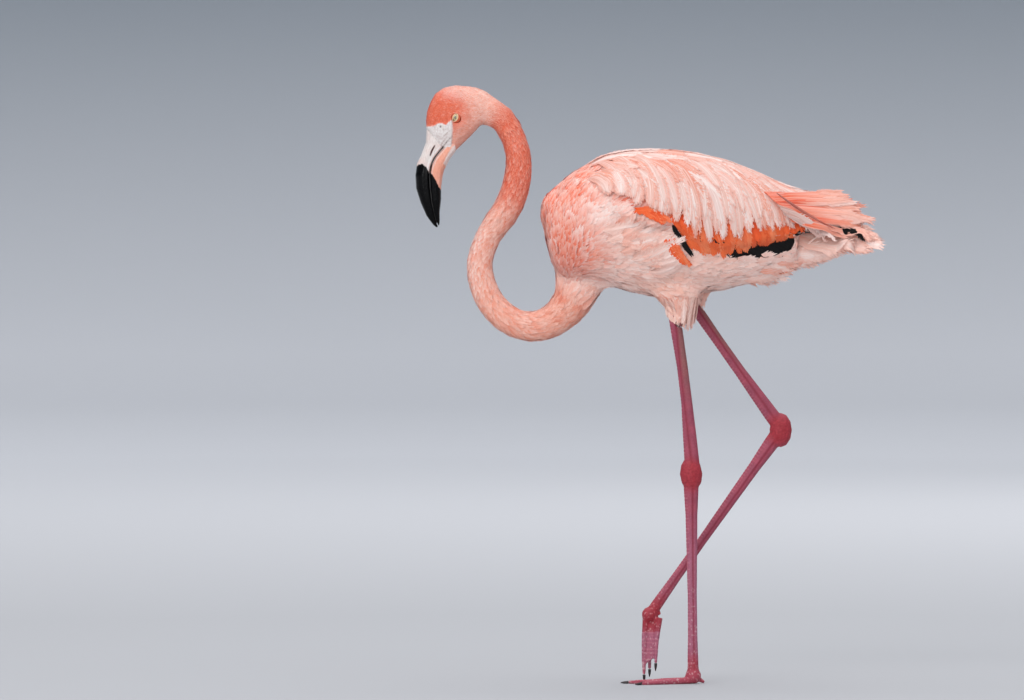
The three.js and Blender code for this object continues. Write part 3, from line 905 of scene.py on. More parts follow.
def eyeball(side, centre, radius, frame_ways, material):
    """A ball with a slight bulge in front, marked with each point's distance from the pupil."""
    out, back, up = frame_ways
    rings, turns = 34, 72
    angle = np.linspace(0, math.pi, rings + 1)[1:-1]
    turn = np.linspace(0, 2 * math.pi, turns, endpoint=False)
    away, around = (a.ravel() for a in np.meshgrid(angle, turn, indexing="ij"))
    direction = (np.cos(away)[:, None] * out
                 + np.sin(away)[:, None] * (np.cos(around)[:, None] * back
                                            + np.sin(around)[:, None] * up))
    bulge = 1 + 0.035 * np.exp(-(away / 0.42) ** 2)
    points = centre + direction * (radius * bulge)[:, None]
    points = np.vstack([points, centre + out * radius * 1.035, centre - out * radius])
    bands = rings - 1
    grid = np.arange(bands * turns).reshape(bands, turns)
    a, b = grid[:-1], grid[1:]
    quads = np.stack([a, b, np.roll(b, -1, 1), np.roll(a, -1, 1)], axis=-1).reshape(-1, 4)
    triangles = np.vstack([quads[:, [0, 1, 2]], quads[:, [0, 2, 3]]])
    first, last = grid[0], grid[-1]
    tip, tail = np.full(turns, bands * turns), np.full(turns, bands * turns + 1)
    triangles = np.vstack([triangles, np.stack([tip, first, np.roll(first, -1)], axis=1),
                           np.stack([tail, np.roll(last, -1), last], axis=1)])
    mesh = outward(mesh_from(f"eyeball_{side}", points, triangles))
    narrow = np.hypot(np.cos(around) / 0.82, np.sin(around) / 1.25)
    distance = np.append(radius * np.sin(away) * narrow + 2 * radius * (away > math.pi / 2),
                         [0, 3 * radius])
    store(mesh, "radial", "FLOAT", distance)
    store(mesh, "turn", "FLOAT", np.append(around, [0, 0]))
    mesh.materials.append(material)
    return object_from(f"eyeball_{side}", mesh)


def make_eyes():
    """Eyeballs, and round each of them the rim of its lids."""
    ball_material, rim_material = eye_material(), lid_material()
    for side in SIDES:
        place = (side, eye_centre(side), eye_radius() - 0.0003, eye_frame(side))
        handed_in(eyeball(*place, ball_material), "eye", [f"eye_{side}"])
        handed_in(eye_rim(*place, rim_material), "skin")


def outward(mesh):
    """The mesh with its faces pointing out."""
    bm = bmesh.new()
    bm.from_mesh(mesh)
    bmesh.ops.recalc_face_normals(bm, faces=bm.faces)
    bm.to_mesh(mesh)
    bm.free()
    return mesh


def eye_rim(side, centre, radius, frame_ways, material):
    """A soft rounded lid from the eyeball out to the skin, as a closed ring."""
    out, back, up = frame_ways
    around = np.linspace(0, 2 * math.pi, 96, endpoint=False)
    reach = lid_outline(around)
    # Across the lid: its inner lip, its crest and its pale edge, then its skirt down the eyeball's
    # side, which wears the face's colour, and last its hidden underside.
    skirt = radius + 0.0003
    profile = [(reach, 0.00025), (reach + 0.00035, 0.00060), (reach + 0.0009, 0.00075),
               (reach + 0.0013, 0.00055), (reach + 0.0016, 0.00030)]
    profile += [((reach + 0.0016) * (1 - share) + skirt * share, 0.0003) for share in (0.4, 0.75, 1.0)]
    profile += [(reach * 0 + skirt - 0.0008, -0.0009), (reach + 0.0005, -0.0010)]
    rows = []
    for flat, lift in profile:
        height = np.sqrt(np.maximum(radius ** 2 - flat ** 2, 0.0)) + lift
        rows.append(centre + (flat * np.cos(around))[:, None] * back
                    + (flat * np.sin(around))[:, None] * up + height[:, None] * out)
    points = np.stack(rows)
    pucker = rough(points.reshape(-1, 3), 0.0016, 3.0).reshape(points.shape[:2])
    points = points + 0.00012 * pucker[..., None] * out
    count = len(around)
    grid = np.arange(len(profile) * count).reshape(len(profile), count)
    nxt = np.roll(grid, -1, 0)
    quads = np.stack([grid, nxt, np.roll(nxt, -1, 1), np.roll(grid, -1, 1)], axis=-1).reshape(-1, 4)
    mesh = outward(mesh_from(f"eyelids_{side}", points.reshape(-1, 3), quads))
    store(mesh, "across", "FLOAT", np.repeat(np.arange(len(profile)) / (len(profile) - 1), count))
    mesh.materials.append(material)
    return object_from(f"eyelids_{side}", mesh)


def eye_material():
    shader = Shader("eye", 0.18, specular=0.6, coat=1.0)
    shader.surface.inputs["Coat Roughness"].default_value = 0.03
    radial = shader.attribute("radial")
    turn = shader.attribute("turn")
    spokes = shader.noise(shader.node("ShaderNodeCombineXYZ", {
        "X": shader.math("MULTIPLY", turn, 5.0), "Y": shader.math("MULTIPLY", radial, 500.0)}
    ).outputs["Vector"], 1.6, 3.0)
    iris = shader.mix(shader.ranged(spokes, 0.35, 0.65), rgba("#a89566"), rgba("#d6c492"))
    outer = shader.mix(shader.ranged(radial, 0.0026, 0.0040), iris, rgba("#85683f"))
    pupil = shader.ranged(radial, 0.0015, 0.0017)
    shader.colour(shader.mix(pupil, rgba("#0b0706"), outer))
    return shader.material


def lid_material():
    shader = Shader("eyelid_skin", 0.5, specular=0.4)
    across = shader.attribute("across")
    fleck = shader.noise(shader.place(), 1400.0, 3.0)
    cream = shader.mix(shader.ranged(fleck, 0.35, 0.7), rgba("#e0b68e"), rgba("#efd3b4"))
    shader.colour(shader.mix(shader.ranged(across, 0.28, 0.38), cream, rgba("#dd6a48")))
    shader.bump(fleck, 0.3, 0.0002)
    return shader.material


def claw_material():
    shader = Shader("claw_horn", 0.38, specular=0.5)
    streak = shader.noise(shader.scaled(shader.place(), (1.0, 1.0, 0.3)), 1500.0, 4.0)
    shader.colour(shader.mix(shader.ranged(streak, 0.35, 0.7), rgba("#120e0f"), rgba("#3a2a2c")))
    shader.bump(streak, 0.4, 0.00015)
    return shader.material


def make_claws(settings):
    material = claw_material()
    for side in SIDES:
        nodes = [name for name in frame["nodes"] if name.startswith("claw_") and name.endswith(side)]
        mesh = fused(nodes, settings.claw_voxel, CLAW_ROUNDS, grow=0.0)
        points = points_of(mesh)
        points[:, 2] = np.maximum(points[:, 2], 0.0)
        reshape(mesh, points)
        mesh.materials.append(material)
        handed_in(object_from(f"claws_{side}", mesh), "claw", nodes)


# ---- Coat: where feathers grow, and how they lie ----

NAPE_AIM = np.array([-0.185, 0.0, 0.765])


def lie_angle(points):
    """The way the body's feathers lie in the side view, in degrees up from the tail's way."""
    x, z = points[:, 0], points[:, 2]
    heights = [0.50, 0.54, 0.58, 0.62, 0.66, 0.70, 0.73]
    ahead = np.interp(z, heights, [66, 72, 84, 92, 80, 45, 15])
    middle = np.interp(z, heights, [-40, -12, 16, 38, 30, 8, 0])
    behind = np.interp(z, heights, [-30, 4, 12, -8, -26, -24, -18])
    angle = ahead + (middle - ahead) * smooth(-0.125, -0.060, x)
    angle = angle + (behind - angle) * smooth(0.03, 0.10, x)
    thigh = smooth(0.528, 0.512, z) * smooth(-0.012, 0.008, x)
    return angle + (-66 - angle) * thigh


def lie_of(points, normals, parts):
    """The way a feather points from its root, along the skin."""
    x = points[:, 0]
    angle = np.radians(lie_angle(points))
    body = np.stack([np.cos(angle), 0 * x, np.sin(angle)], axis=1)
    along = parts["line"].way
    neck = np.stack([along[:, 0], 0 * x, along[:, 1]], axis=1)
    head = unit((NAPE_AIM - points) * [1, 0.3, 1])
    head[:, 2] += 0.8 * smooth(-0.268, -0.292, x)
    head = mixed(unit(head), neck, smooth(-0.232, -0.205, x))
    way = mixed(mixed(body, neck, parts["neck"]), unit(head), parts["head"])
    way = way - normals * (way * normals).sum(axis=1, keepdims=True)
    return unit(way)


def wing_edge(x):
    """The height of the folded wing's lower edge."""
    return np.interp(x, [-0.03, 0.0, 0.030, 0.042, 0.056, 0.10, 0.14, 0.20, 0.235, 0.30],
                     [0.665, 0.645, 0.628, 0.600, 0.5835, 0.577, 0.577, 0.584, 0.589, 0.600])


COAT_ENDS = {"left": 0.504, "right": 0.518}  # how low the small feathers go on each thigh


def prepare_coat(skin):
    """Writes on the skin where each coat grows, how it lies, its size and its colours."""
    mesh = skin.data
    points, normals = points_of(mesh), normals_of(mesh)
    parts = region(points)
    x, y, z = points.T
    share = parts["line"].share
    ahead = smooth(0.0, -0.004, x - eye_centre("left")[0])
    feathered = (1 - parts["bare"]) * smooth(0.0, 0.0004, from_lids(points) - 0.0022 - 0.0024 * ahead)
    low_end = np.where(y < 0, *(COAT_ENDS[side] for side in SIDES))
    feathered = feathered * smooth(low_end, low_end + 0.006, z + 0.2 * (x < -0.02))
    near_head = parts["head"] * smooth(0.16, 0.11, share)
    on_neck = np.clip(parts["neck"] + parts["head"] * smooth(0.08, 0.12, share), 0, 1)
    root, tip = markings(points, parts)
    store(mesh, "cover_head", "FLOAT", feathered * (near_head > 0.5))
    store(mesh, "cover_neck", "FLOAT", feathered * (on_neck > 0.02))
    wing_start = wing_edge(x + 0.012) - 0.001 - 0.005 * smooth(0.055, 0.085, x)
    under_wing = smooth(-0.020, 0.012, x - 0.05 * smooth(0.675, 0.695, z)) * (z > wing_start)
    under_wing = under_wing * smooth(0.75, 0.45, normals[:, 0])
    store(mesh, "cover_body", "FLOAT", feathered * smooth(0.0, 0.45, parts["body"]) * (1 - under_wing))
    grown = np.interp(share, [0.0, 0.12, 0.20, 0.34, 0.60, 0.80, 0.92],
                      [0.50, 0.56, 0.78, 1.0, 0.95, 1.3, 1.9])
    face = 0.72 + 0.45 * smooth(-0.285, -0.235, x)
    wide = np.interp(x, [-0.14, -0.09, -0.03, 0.05, 0.20], [0.80, 0.92, 1.1, 1.1, 1.15])
    wide = wide * (1 - 0.50 * parts["neck"])
    wide = wide * (1 - 0.25 * smooth(0.66, 0.70, z))
    reach = mixed(mixed(wide[:, None], grown[:, None], parts["neck"]), face[:, None], near_head)[:, 0]
    store(mesh, "reach", "FLOAT", reach)
    store(mesh, "out", "FLOAT_VECTOR", normals)
    store(mesh, "lie", "FLOAT_VECTOR", lie_of(points, normals, parts))
    store(mesh, "tint_root", "FLOAT_COLOR", root)
    store(mesh, "tint_tip", "FLOAT_COLOR", tip)
    unwrap(skin)


def unwrap(obj):
    """Opens the skin's own shape out flat, in islands, into the map that the coats are placed by."""
    obj.data.uv_layers.new(name="unwrap")
    bpy.ops.object.select_all(action="DESELECT")
    obj.select_set(True)
    bpy.context.view_layer.objects.active = obj
    bpy.ops.object.mode_set(mode="EDIT")
    bpy.ops.mesh.select_all(action="SELECT")
    bpy.ops.uv.smart_project(angle_limit=math.radians(66), island_margin=0.004)
    bpy.ops.object.mode_set(mode="OBJECT")


# ---- Feather shapes ----

class Pile:
    """Points, triangles and attributes gathered from many small closed shapes."""

    def __init__(self):
        self.points, self.faces, self.values = [], [], []
        self.count = 0

    def add(self, points, faces, values):
        """values has a row for each point: how far along the feather, across it, and so on."""
        self.points.append(points)
        self.faces.append(np.asarray(faces) + self.count)
        self.values.append(values)
        self.count += len(points)

    def mesh(self, name):
        return mesh_from(name, np.concatenate(self.points), np.concatenate(self.faces))


SLIVER = np.array([[0, 1, 2], [1, 3, 2], [0, 3, 1], [0, 2, 3]])


def sliver(start, end, width, aside, out, lift=0.0):
    """A barb: a thin closed blade from start to end, broad before its middle, with a ridge on top."""
    middle = start + (end - start) * 0.42
    half = aside * width / 2
    return np.array([start, middle + half, middle - half, end + out * lift])


def small_feather(name, length, width, barbs, arch, splay, seed):
    """A small feather lying along X: barbs that fan out from its shaft and overlap into a vane."""
    rng = np.random.default_rng(seed)
    pile = Pile()
    out = np.array([0, 0, 1.0])
    for barb in range(barbs):
        share = barb / max(barbs - 1, 1)
        side = -1 if barb % 2 else 1
        last = barb == barbs - 1
        start_at = 0.02 + 0.50 * share
        end_at = 0.46 + 0.54 * share + rng.uniform(-0.05, 0.04)
        reach = 0.0 if last else side * (0.5 - 0.34 * share ** 2) * (1 - 0.25 * (share < 0.15))
        reach += rng.uniform(-splay, splay)
        start = np.array([start_at * length, 0.06 * side * width, arch * length * start_at * 0.9])
        high = arch * length * np.sin(np.pi * min(end_at, 1) * 0.86) + rng.uniform(0, 0.02) * length
        end = np.array([end_at * length, reach * width, high])
        way = unit(end - start)
        aside = unit(np.cross(out, way))
        broad = width * (0.36 if barbs > 6 else 0.5) * (1 - 0.3 * share)
        points = sliver(start, end, broad, aside, out)
        points[1:3, 2] += 0.02 * length * (1 - share)
        along = points[:, 0] / length
        across = points[:, 1] / (width / 2)
        pile.add(points, SLIVER, np.stack([along, across], axis=1))
    mesh = outward(pile.mesh(name))
    values = np.concatenate(pile.values)
    store(mesh, "along", "FLOAT", values[:, 0])
    store(mesh, "across", "FLOAT", values[:, 1])
    return mesh


def feather_set(name, shapes):
    """Small feathers in a collection of their own, outside the scene, to be strewn from."""
    group = bpy.data.collections.new(name)
    for index, mesh in enumerate(shapes):
        group.objects.link(bpy.data.objects.new(f"{name}_{index}", mesh))
    return group


# ---- Small feathers strewn over the skin ----

class Strewing:
    """The node tree that sets feathers on the skin, turns them to their lie and bends them to it."""

    def __init__(self):
        self.tree = bpy.data.node_groups.new("strewn_feathers", "GeometryNodeTree")
        face = self.tree.interface
        self.sockets = {}
        for name, kind in (("Geometry", "Geometry"), ("Feathers", "Collection"), ("Cover", "String"),
                           ("Spacing", "Float"), ("Density", "Float"), ("Kinds", "Int"), ("Seed", "Int"),
                           ("Raise", "Float"), ("Turn", "Float"), ("Material", "Material")):
            self.sockets[name] = face.new_socket(name, in_out="INPUT", socket_type=f"NodeSocket{kind}")
        face.new_socket("Geometry", in_out="OUTPUT", socket_type="NodeSocketGeometry")
        self.entry = self.tree.nodes.new("NodeGroupInput").outputs
        self.build()

    def node(self, kind, inputs=(), output=0, **settings):
        made = self.tree.nodes.new(kind)
        for key, value in settings.items():
            setattr(made, key, value)
        for key, value in dict(inputs).items():
            if isinstance(value, bpy.types.NodeSocket):
                self.tree.links.new(value, made.inputs[key])
            else:
                made.inputs[key].default_value = value
        return made.outputs[output]

    def named(self, name, kind="FLOAT_VECTOR"):
        return self.node("GeometryNodeInputNamedAttribute", {"Name": name}, data_type=kind)

    def written(self, geometry, name, value, kind="FLOAT_VECTOR"):
        return self.node("GeometryNodeStoreNamedAttribute",
                         {"Geometry": geometry, "Name": name, "Value": value}, data_type=kind)

    def chance(self, low, high, offset):
        """A random number for each feather."""
        made = self.tree.nodes.new("FunctionNodeRandomValue")
        made.data_type = "FLOAT"
        seed = self.node("ShaderNodeMath", {0: self.entry["Seed"], 1: float(offset)}, operation="ADD")
        self.tree.links.new(seed, made.inputs["Seed"])
        for socket, value in ((made.inputs[2], low), (made.inputs[3], high)):
            if isinstance(value, bpy.types.NodeSocket):
                self.tree.links.new(value, socket)
            else:
                socket.default_value = value
        return made.outputs[1]

    def maths(self, operation, a, b=0.0):
        return self.node("ShaderNodeMath", {0: a, 1: b}, operation=operation)

    def vector(self, operation, a, b, output=0):
        return self.node("ShaderNodeVectorMath", {0: a, 1: b}, output, operation=operation)

    def build(self):
        entry = self.entry
        skin = entry["Geometry"]
        points = self.node("GeometryNodeDistributePointsOnFaces", {
            "Mesh": skin, "Distance Min": entry["Spacing"], "Density Max": entry["Density"],
            "Density Factor": self.named(entry["Cover"], "FLOAT"), "Seed": entry["Seed"]},
            distribute_method="POISSON")
        points = self.written(points, "root", self.node("GeometryNodeInputPosition"))
        points = self.written(points, "root_out", self.named("out"))
        points = self.written(points, "pick", self.chance(0.0, 1.0, 11), "FLOAT")
        upright = self.node("FunctionNodeAlignRotationToVector", {"Vector": self.named("out")}, axis="Z")
        lying = self.node("FunctionNodeAlignRotationToVector",
                          {"Rotation": upright, "Vector": self.named("lie")}, axis="X", pivot_axis="Z")
        raised = self.maths("MULTIPLY", self.chance(0.0, entry["Raise"], 1), -1.0)
        turned = self.maths("MULTIPLY", self.chance(-1.0, 1.0, 2), entry["Turn"])
        own = self.node("FunctionNodeEulerToRotation", {"Euler": self.node("ShaderNodeCombineXYZ", {
            "X": self.chance(-0.12, 0.12, 3), "Y": raised, "Z": turned})})
        rotation = self.node("FunctionNodeRotateRotation", {"Rotation": lying, "Rotate By": own},
                             rotation_space="LOCAL")
        size = self.maths("MULTIPLY", self.named("reach", "FLOAT"), self.chance(0.82, 1.18, 4))
        feathers = self.node("GeometryNodeCollectionInfo", {
            "Collection": entry["Feathers"], "Separate Children": True, "Reset Children": True})
        kind = self.maths("FLOOR", self.maths("MULTIPLY", self.chance(0.0, 0.999, 5), entry["Kinds"]))
        placed = self.node("GeometryNodeInstanceOnPoints", {
            "Points": points, "Instance": feathers, "Pick Instance": True, "Instance Index": kind,
            "Rotation": rotation, "Scale": size})
        solid = self.node("GeometryNodeRealizeInstances", {"Geometry": placed})
        place = self.node("GeometryNodeInputPosition")
        height = self.vector("DOT_PRODUCT", self.vector("SUBTRACT", place, self.named("root")),
                             self.named("root_out"), "Value")
        near = self.node("GeometryNodeProximity", {0: skin}, "Position", target_element="FACES")
        sample = self.tree.nodes.new("GeometryNodeSampleNearestSurface")
        sample.data_type = "FLOAT_VECTOR"
        self.tree.links.new(skin, sample.inputs["Mesh"])
        self.tree.links.new(self.named("out"), sample.inputs["Value"])
        out = self.node("ShaderNodeVectorMath", {0: sample.outputs["Value"]}, operation="NORMALIZE")
        offset = self.node("ShaderNodeVectorMath", {0: out, "Scale": height}, operation="SCALE")
        bent = self.node("GeometryNodeSetPosition",
                         {"Geometry": solid, "Position": self.vector("ADD", near, offset)})
        done = self.node("GeometryNodeSetMaterial", {"Geometry": bent, "Material": entry["Material"]})
        leave = self.tree.nodes.new("NodeGroupOutput")
        self.tree.links.new(done, leave.inputs[0])

    def strewn(self, name, skin, **inputs):
        """A mesh of feathers over the skin, with the tree's inputs given by name."""
        carrier = bpy.data.objects.new(name, skin.data)
        bpy.context.scene.collection.objects.link(carrier)
        modifier = carrier.modifiers.new("Feathers", "NODES")
        modifier.node_group = self.tree
        for key, value in inputs.items():
            modifier[self.sockets[key].identifier] = value
        mesh = taken_from(carrier)
        mesh.name = name
        return mesh


PATCH = 0.003  # the breadth of one feather's own patch in the map for baking
KEPT = {"tint_root", "tint_tip", "along", "across", "pick", "position", ".edge_verts", ".corner_vert",
        ".corner_edge", "material_index", "sharp_face", "sharp_edge", "OFBake"}


def finish_coat(name, mesh, unwrapped, slot, replaces=()):
    """Gives a coat its map for baking, drops what it no longer needs and sets it on the body in place of
    what it replaces.
    """
    along = read(mesh.attributes["along"].data, "value", 1)
    across = read(mesh.attributes["across"].data, "value", 1)
    own = np.stack([np.clip(along, 0, 1), np.clip(across, -1, 1) * 0.5 + 0.5], axis=1) * PATCH
    corners = read(mesh.loops, "vertex_index", 1, np.int32)
    places = (unwrapped + own - PATCH / 2)[corners]
    for extra in [a.name for a in mesh.attributes if a.name not in KEPT and not a.is_internal]:
        mesh.attributes.remove(mesh.attributes[extra])
    chart = mesh.uv_layers.new(name="OFBake")
    chart.data.foreach_set("uv", places.astype(np.float32).ravel())
    made = object_from(name, mesh)
    mesh.set_sharp_from_angle(angle=math.radians(60))
    return handed_in(made, slot, replaces)


def coat_from(strewing, skin, name, feathers, settings):
    mesh = strewing.strewn(name, skin, Feathers=feathers, Kinds=len(feathers.objects), **settings)
    unwrapped = read(mesh.attributes["unwrap"].data, "vector", 2)
    return finish_coat(name, mesh, unwrapped, "plumage")


def plumage_material(name, streak=1.0, rim="#fbe4dc", rim_share=0.3, shaft=None, varied=0.5):
    """Feather colour from root to tip, with barbs, a rim that is pale on most feathers and partly painted
    shade on the long plumes, and each feather a little different.
    """
    shader = Shader(name, 0.74, specular=0.18, sheen=0.12)
    along, across = shader.attribute("along"), shader.attribute("across")
    pick = shader.attribute("pick")
    far = shader.math("ABSOLUTE", across)
    slant = shader.math("SUBTRACT", shader.math("MULTIPLY", along, 26.0), shader.math("MULTIPLY", far, 5.0))
    barbs = shader.noise(shader.node("ShaderNodeCombineXYZ", {
        "X": slant, "Y": shader.math("MULTIPLY", across, 1.2), "Z": shader.math("MULTIPLY", pick, 40.0)}
    ).outputs["Vector"], 2.2, 2.0, 0.6)
    blend = shader.ranged(along, 0.25, 0.85)
    body = shader.mix(blend, shader.attribute("tint_root", "Color"), shader.attribute("tint_tip", "Color"))
    dark = shader.mix(1.0, body, (0.90, 0.74, 0.70, 1), "MULTIPLY")
    lined = shader.mix(shader.math("MULTIPLY", shader.ranged(barbs, 0.62, 0.36), 0.55 * streak), body, dark)
    if shaft:
        edge = shader.ranged(far, 0.62, 0.98)
        threads = shader.noise(shader.node("ShaderNodeCombineXYZ", {
            "X": shader.math("MULTIPLY", across, 7.0), "Y": shader.math("MULTIPLY", along, 2.2),
            "Z": shader.math("MULTIPLY", pick, 60.0)}).outputs["Vector"], 1.0, 3.0)
        lined = shader.mix(shader.ranged(threads, 0.50, 0.74, 0.0, 0.55), lined, rgba(shaft))
        lined = shader.mix(shader.ranged(far, 0.12, 0.02, 0.0, 0.30), lined, rgba(shaft))
    else:
        edge = shader.math("MAXIMUM", shader.ranged(far, 0.55, 1.0), shader.ranged(along, 0.86, 1.0))
    # The rim's colour laid on at the edges: a pale margin, and on the long plumes partly painted shade in
    # the gaps between them.
    pale = shader.mix(shader.math("MULTIPLY", edge, rim_share), lined, rgba(rim))
    warm = shader.mix(1.0, pale, (0.94, 0.66, 0.58, 1), "MULTIPLY")
    shaded = shader.mix(shader.ranged(pick, 0.45, 1.0, 0.0, varied), pale, warm)
    light = 0.35 * varied if rim_share else 0.0
    shader.colour(shader.mix(shader.ranged(pick, 0.25, 0.0, 0.0, light), shaded, rgba(rim)))
    shader.bump(barbs, 0.25, 0.0002)
    return shader.material


def make_small_feathers(skin, settings):
    strewing = Strewing()
    size = settings.head_feather
    head = feather_set("head_feather", [
        small_feather(f"head_feather_{k}", size, 0.42 * size, 3, 0.05, 0.06, k) for k in range(4)])
    size = settings.neck_feather
    neck = feather_set("neck_feather", [
        small_feather(f"neck_feather_{k}", size, 0.34 * size, 5, 0.06, 0.10, 10 + k) for k in range(5)])
    size = settings.body_feather
    body = feather_set("body_feather", [
        small_feather(f"body_feather_{k}", size, 0.64 * size, 15, 0.045, 0.08, 20 + k) for k in range(6)])
    fine = plumage_material("fine_plumage", 0.6, "#fbd5c8", 0.18, varied=0.95)
    soft = plumage_material("soft_plumage", 1.0, "#fdeee8", 0.55, varied=0.35)
    coat_from(strewing, skin, "coat_head", head, {
        "Cover": "cover_head", "Spacing": settings.head_spacing, "Density": 1.4e6, "Seed": 3, "Raise": 0.10,
        "Turn": 0.16, "Material": fine})
    coat_from(strewing, skin, "coat_neck", neck, {
        "Cover": "cover_neck", "Spacing": settings.neck_spacing, "Density": 3e5, "Seed": 5, "Raise": 0.13,
        "Turn": 0.24, "Material": fine})
    coat_from(strewing, skin, "coat_body", body, {
        "Cover": "cover_body", "Spacing": settings.body_spacing, "Density": 1.1e5, "Seed": 7, "Raise": 0.07,
        "Turn": 0.22, "Material": soft})


# ---- Long feathers, laid one by one ----

class Ground:
    """The skin as a surface to lay long feathers on."""

    def __init__(self, mesh):
        self.tree = tree_of(mesh)
        self.normals = normals_of(mesh)
        self.loops = read(mesh.loops, "vertex_index", 1, np.int32)
        self.starts = read(mesh.polygons, "loop_start", 1, np.int32)
        self.totals = read(mesh.polygons, "loop_total", 1, np.int32)
        self.chart = read(mesh.uv_layers["unwrap"].data, "uv", 2)

    def nearest(self, point):
        """The nearest place on the skin, which way it faces, and its place in the skin's map."""
        place, _, face, _ = self.tree.find_nearest(Vector(point))
        corners = slice(self.starts[face], self.starts[face] + self.totals[face])
        normal = unit(self.normals[self.loops[corners]].mean(axis=0))
        return np.array(place), normal, self.chart[self.starts[face]]

    def seen(self, way, a, b, side):
        """The place on the skin at (x, z) from the bird's side, or at (x, y) from above."""
        if way == "side":
            start, aim = Vector((a, side * 0.4, b)), Vector((0, -side, 0))
        else:
            start, aim = Vector((a, side * b, 1.2)), Vector((0, 0, -1))
        place = self.tree.ray_cast(start, aim)[0]
        if place is None:
            place = self.nearest((a, side * 0.012, b) if way == "side" else (a, side * b, 0.7))[0]
        return np.array(place)


def laid(ground, root, tip, bulge, lift, rise, clear, cling, facing, side):
    """A feather's middle line, and which way it faces at each place on it.

    lift is its height over the skin, which it reaches at the share clear of its length, and rise is
    how much more that is at its tip."""
    steps = np.linspace(0, 1, 13)
    chord = tip - root
    normal = ground.nearest((root + tip) / 2)[1] if cling else unit(np.array(facing) * [1, side, 1])
    aside = np.cross(normal, chord) * -side
    line = root + chord * steps[:, None] + aside * (bulge * np.sin(np.pi * steps))[:, None]
    facings = np.empty_like(line)
    for index, step in enumerate(steps):
        place, out, _ = ground.nearest(line[index])
        height = (line[index] - place) @ out
        wanted = lift * float(smooth(-0.05, clear, step)) + rise * step
        if cling or height < 0:
            line[index] += out * (wanted - height)
        facings[index] = out if cling else normal
    for _ in range(2):
        line[1:-1] = (line[:-2] + 2 * line[1:-1] + line[2:]) / 4
        facings[1:-1] = (facings[:-2] + 2 * facings[1:-1] + facings[2:]) / 4
    for index in range(3, len(steps) if cling else 3):
        place, out, _ = ground.nearest(line[index])
        height = (line[index] - place) @ out
        least = 0.8 * lift * float(smooth(-0.05, clear, steps[index])) + rise * steps[index]
        line[index] += out * max(0.0, least - height)
    return line, unit(facings)


ACROSS_TOP = np.array([-1.0, -0.62, -0.22, 0.0, 0.22, 0.62, 1.0])
ACROSS_LOW = np.array([0.55, 0.0, -0.55])
SHAFT_AT = 3  # which place across the top is the shaft
VANE_THICK = 0.00022  # a vane's thickness over and under its middle


def vane(line, facings, width, shape, rng):
    """A long feather: a thin closed vane along a line, ridged by its shaft, with loose barbs at its edge.

    shape: rows, blunt (how late it narrows), fringe (barbs a side), loose (their length), twist,
    camber and ragged_from (where along it the loose barbs begin).
    """
    rows = shape["rows"]
    at = np.linspace(0, 1, rows)
    own = np.linspace(0, 1, len(line))
    middle = np.stack([np.interp(at, own, line[:, k]) for k in range(3)], axis=1)
    out = unit(np.stack([np.interp(at, own, facings[:, k]) for k in range(3)], axis=1))
    way = unit(np.gradient(middle, axis=0))
    aside = unit(np.cross(out, way))
    twist = shape["twist"] + rng.normal(0, 0.03)
    aside, out = (aside * math.cos(twist) + out * math.sin(twist),
                  out * math.cos(twist) - aside * math.sin(twist))
    blunt = shape["blunt"]
    past = np.clip((at - blunt) / (1 - blunt), 0, 1)
    half = width / 2 * (0.30 + 0.70 * smooth(0, 0.3, at)) * np.sqrt(np.maximum(1 - past ** 2, 0.004))
    half = half * (1 + 0.06 * np.sin(at * rng.uniform(9, 14) + rng.uniform(0, 6)))
    ring = np.concatenate([ACROSS_TOP, ACROSS_LOW])
    rise = VANE_THICK * (1 - ring ** 2) * np.where(np.arange(len(ring)) < len(ACROSS_TOP), 1, -1)
    rise = rise + VANE_THICK * (np.arange(len(ring)) == SHAFT_AT)
    camber = -shape["camber"] * ring[None] ** 2 * half[:, None]
    points = (middle[:, None] + aside[:, None] * (half[:, None] * ring)[..., None]
              + out[:, None] * (rise[None] + camber)[..., None])
    k = len(ring)
    grid = np.arange(rows * k).reshape(rows, k)
    a, b = grid[:-1], grid[1:]
    quads = np.stack([a, np.roll(a, -1, 1), np.roll(b, -1, 1), b], axis=-1).reshape(-1, 4)
    faces = np.vstack([quads[:, [0, 1, 2]], quads[:, [0, 2, 3]]])
    fan = np.arange(1, k - 1)
    caps = [np.stack([np.full(k - 2, grid[0, 0]), grid[0, fan + 1], grid[0, fan]], axis=1),
            np.stack([np.full(k - 2, grid[-1, 0]), grid[-1, fan], grid[-1, fan + 1]], axis=1)]
    values = np.stack([np.repeat(at, k), np.tile(ring, rows)], axis=1)
    parts = [(points.reshape(-1, 3), np.vstack([faces] + caps), values)]
    for barb in range(shape["fringe"] * 2):
        side = -1 if barb % 2 else 1
        place = 1 - (1 - shape["ragged_from"]) * ((barb // 2 + rng.uniform(0, 1)) / shape["fringe"]) ** 1.2
        spot = min(int(place * (rows - 1)), rows - 2)
        fraction = place * (rows - 1) - spot
        here_out, here_way, here_aside, here_half, here_middle = (
            values[spot] * (1 - fraction) + values[spot + 1] * fraction
            for values in (out, way, aside, half, middle))
        lean = math.radians(8 + 34 * (1 - past[spot]) * rng.uniform(0.6, 1.2))
        heading = here_way * math.cos(lean) + here_aside * side * math.sin(lean)
        base = here_middle + here_aside * side * here_half * 0.72
        base = base - here_out * here_half * shape["camber"] * 0.5
        reach = shape["loose"] * rng.uniform(0.55, 1.25)
        end = base + heading * (reach + here_half * 0.4) + here_out * rng.uniform(-0.0008, 0.0006)
        cross = unit(np.cross(here_out, heading))
        blade = sliver(base, end, rng.uniform(0.0011, 0.0022), cross, here_out)
        blade[1:3] += here_out * 0.0002
        broad = [place + 0.02, side * 0.85]
        mark = np.array([[place, side * 0.7], broad, broad, [1.0, side]])
        parts.append((blade, SLIVER, mark))
    return parts


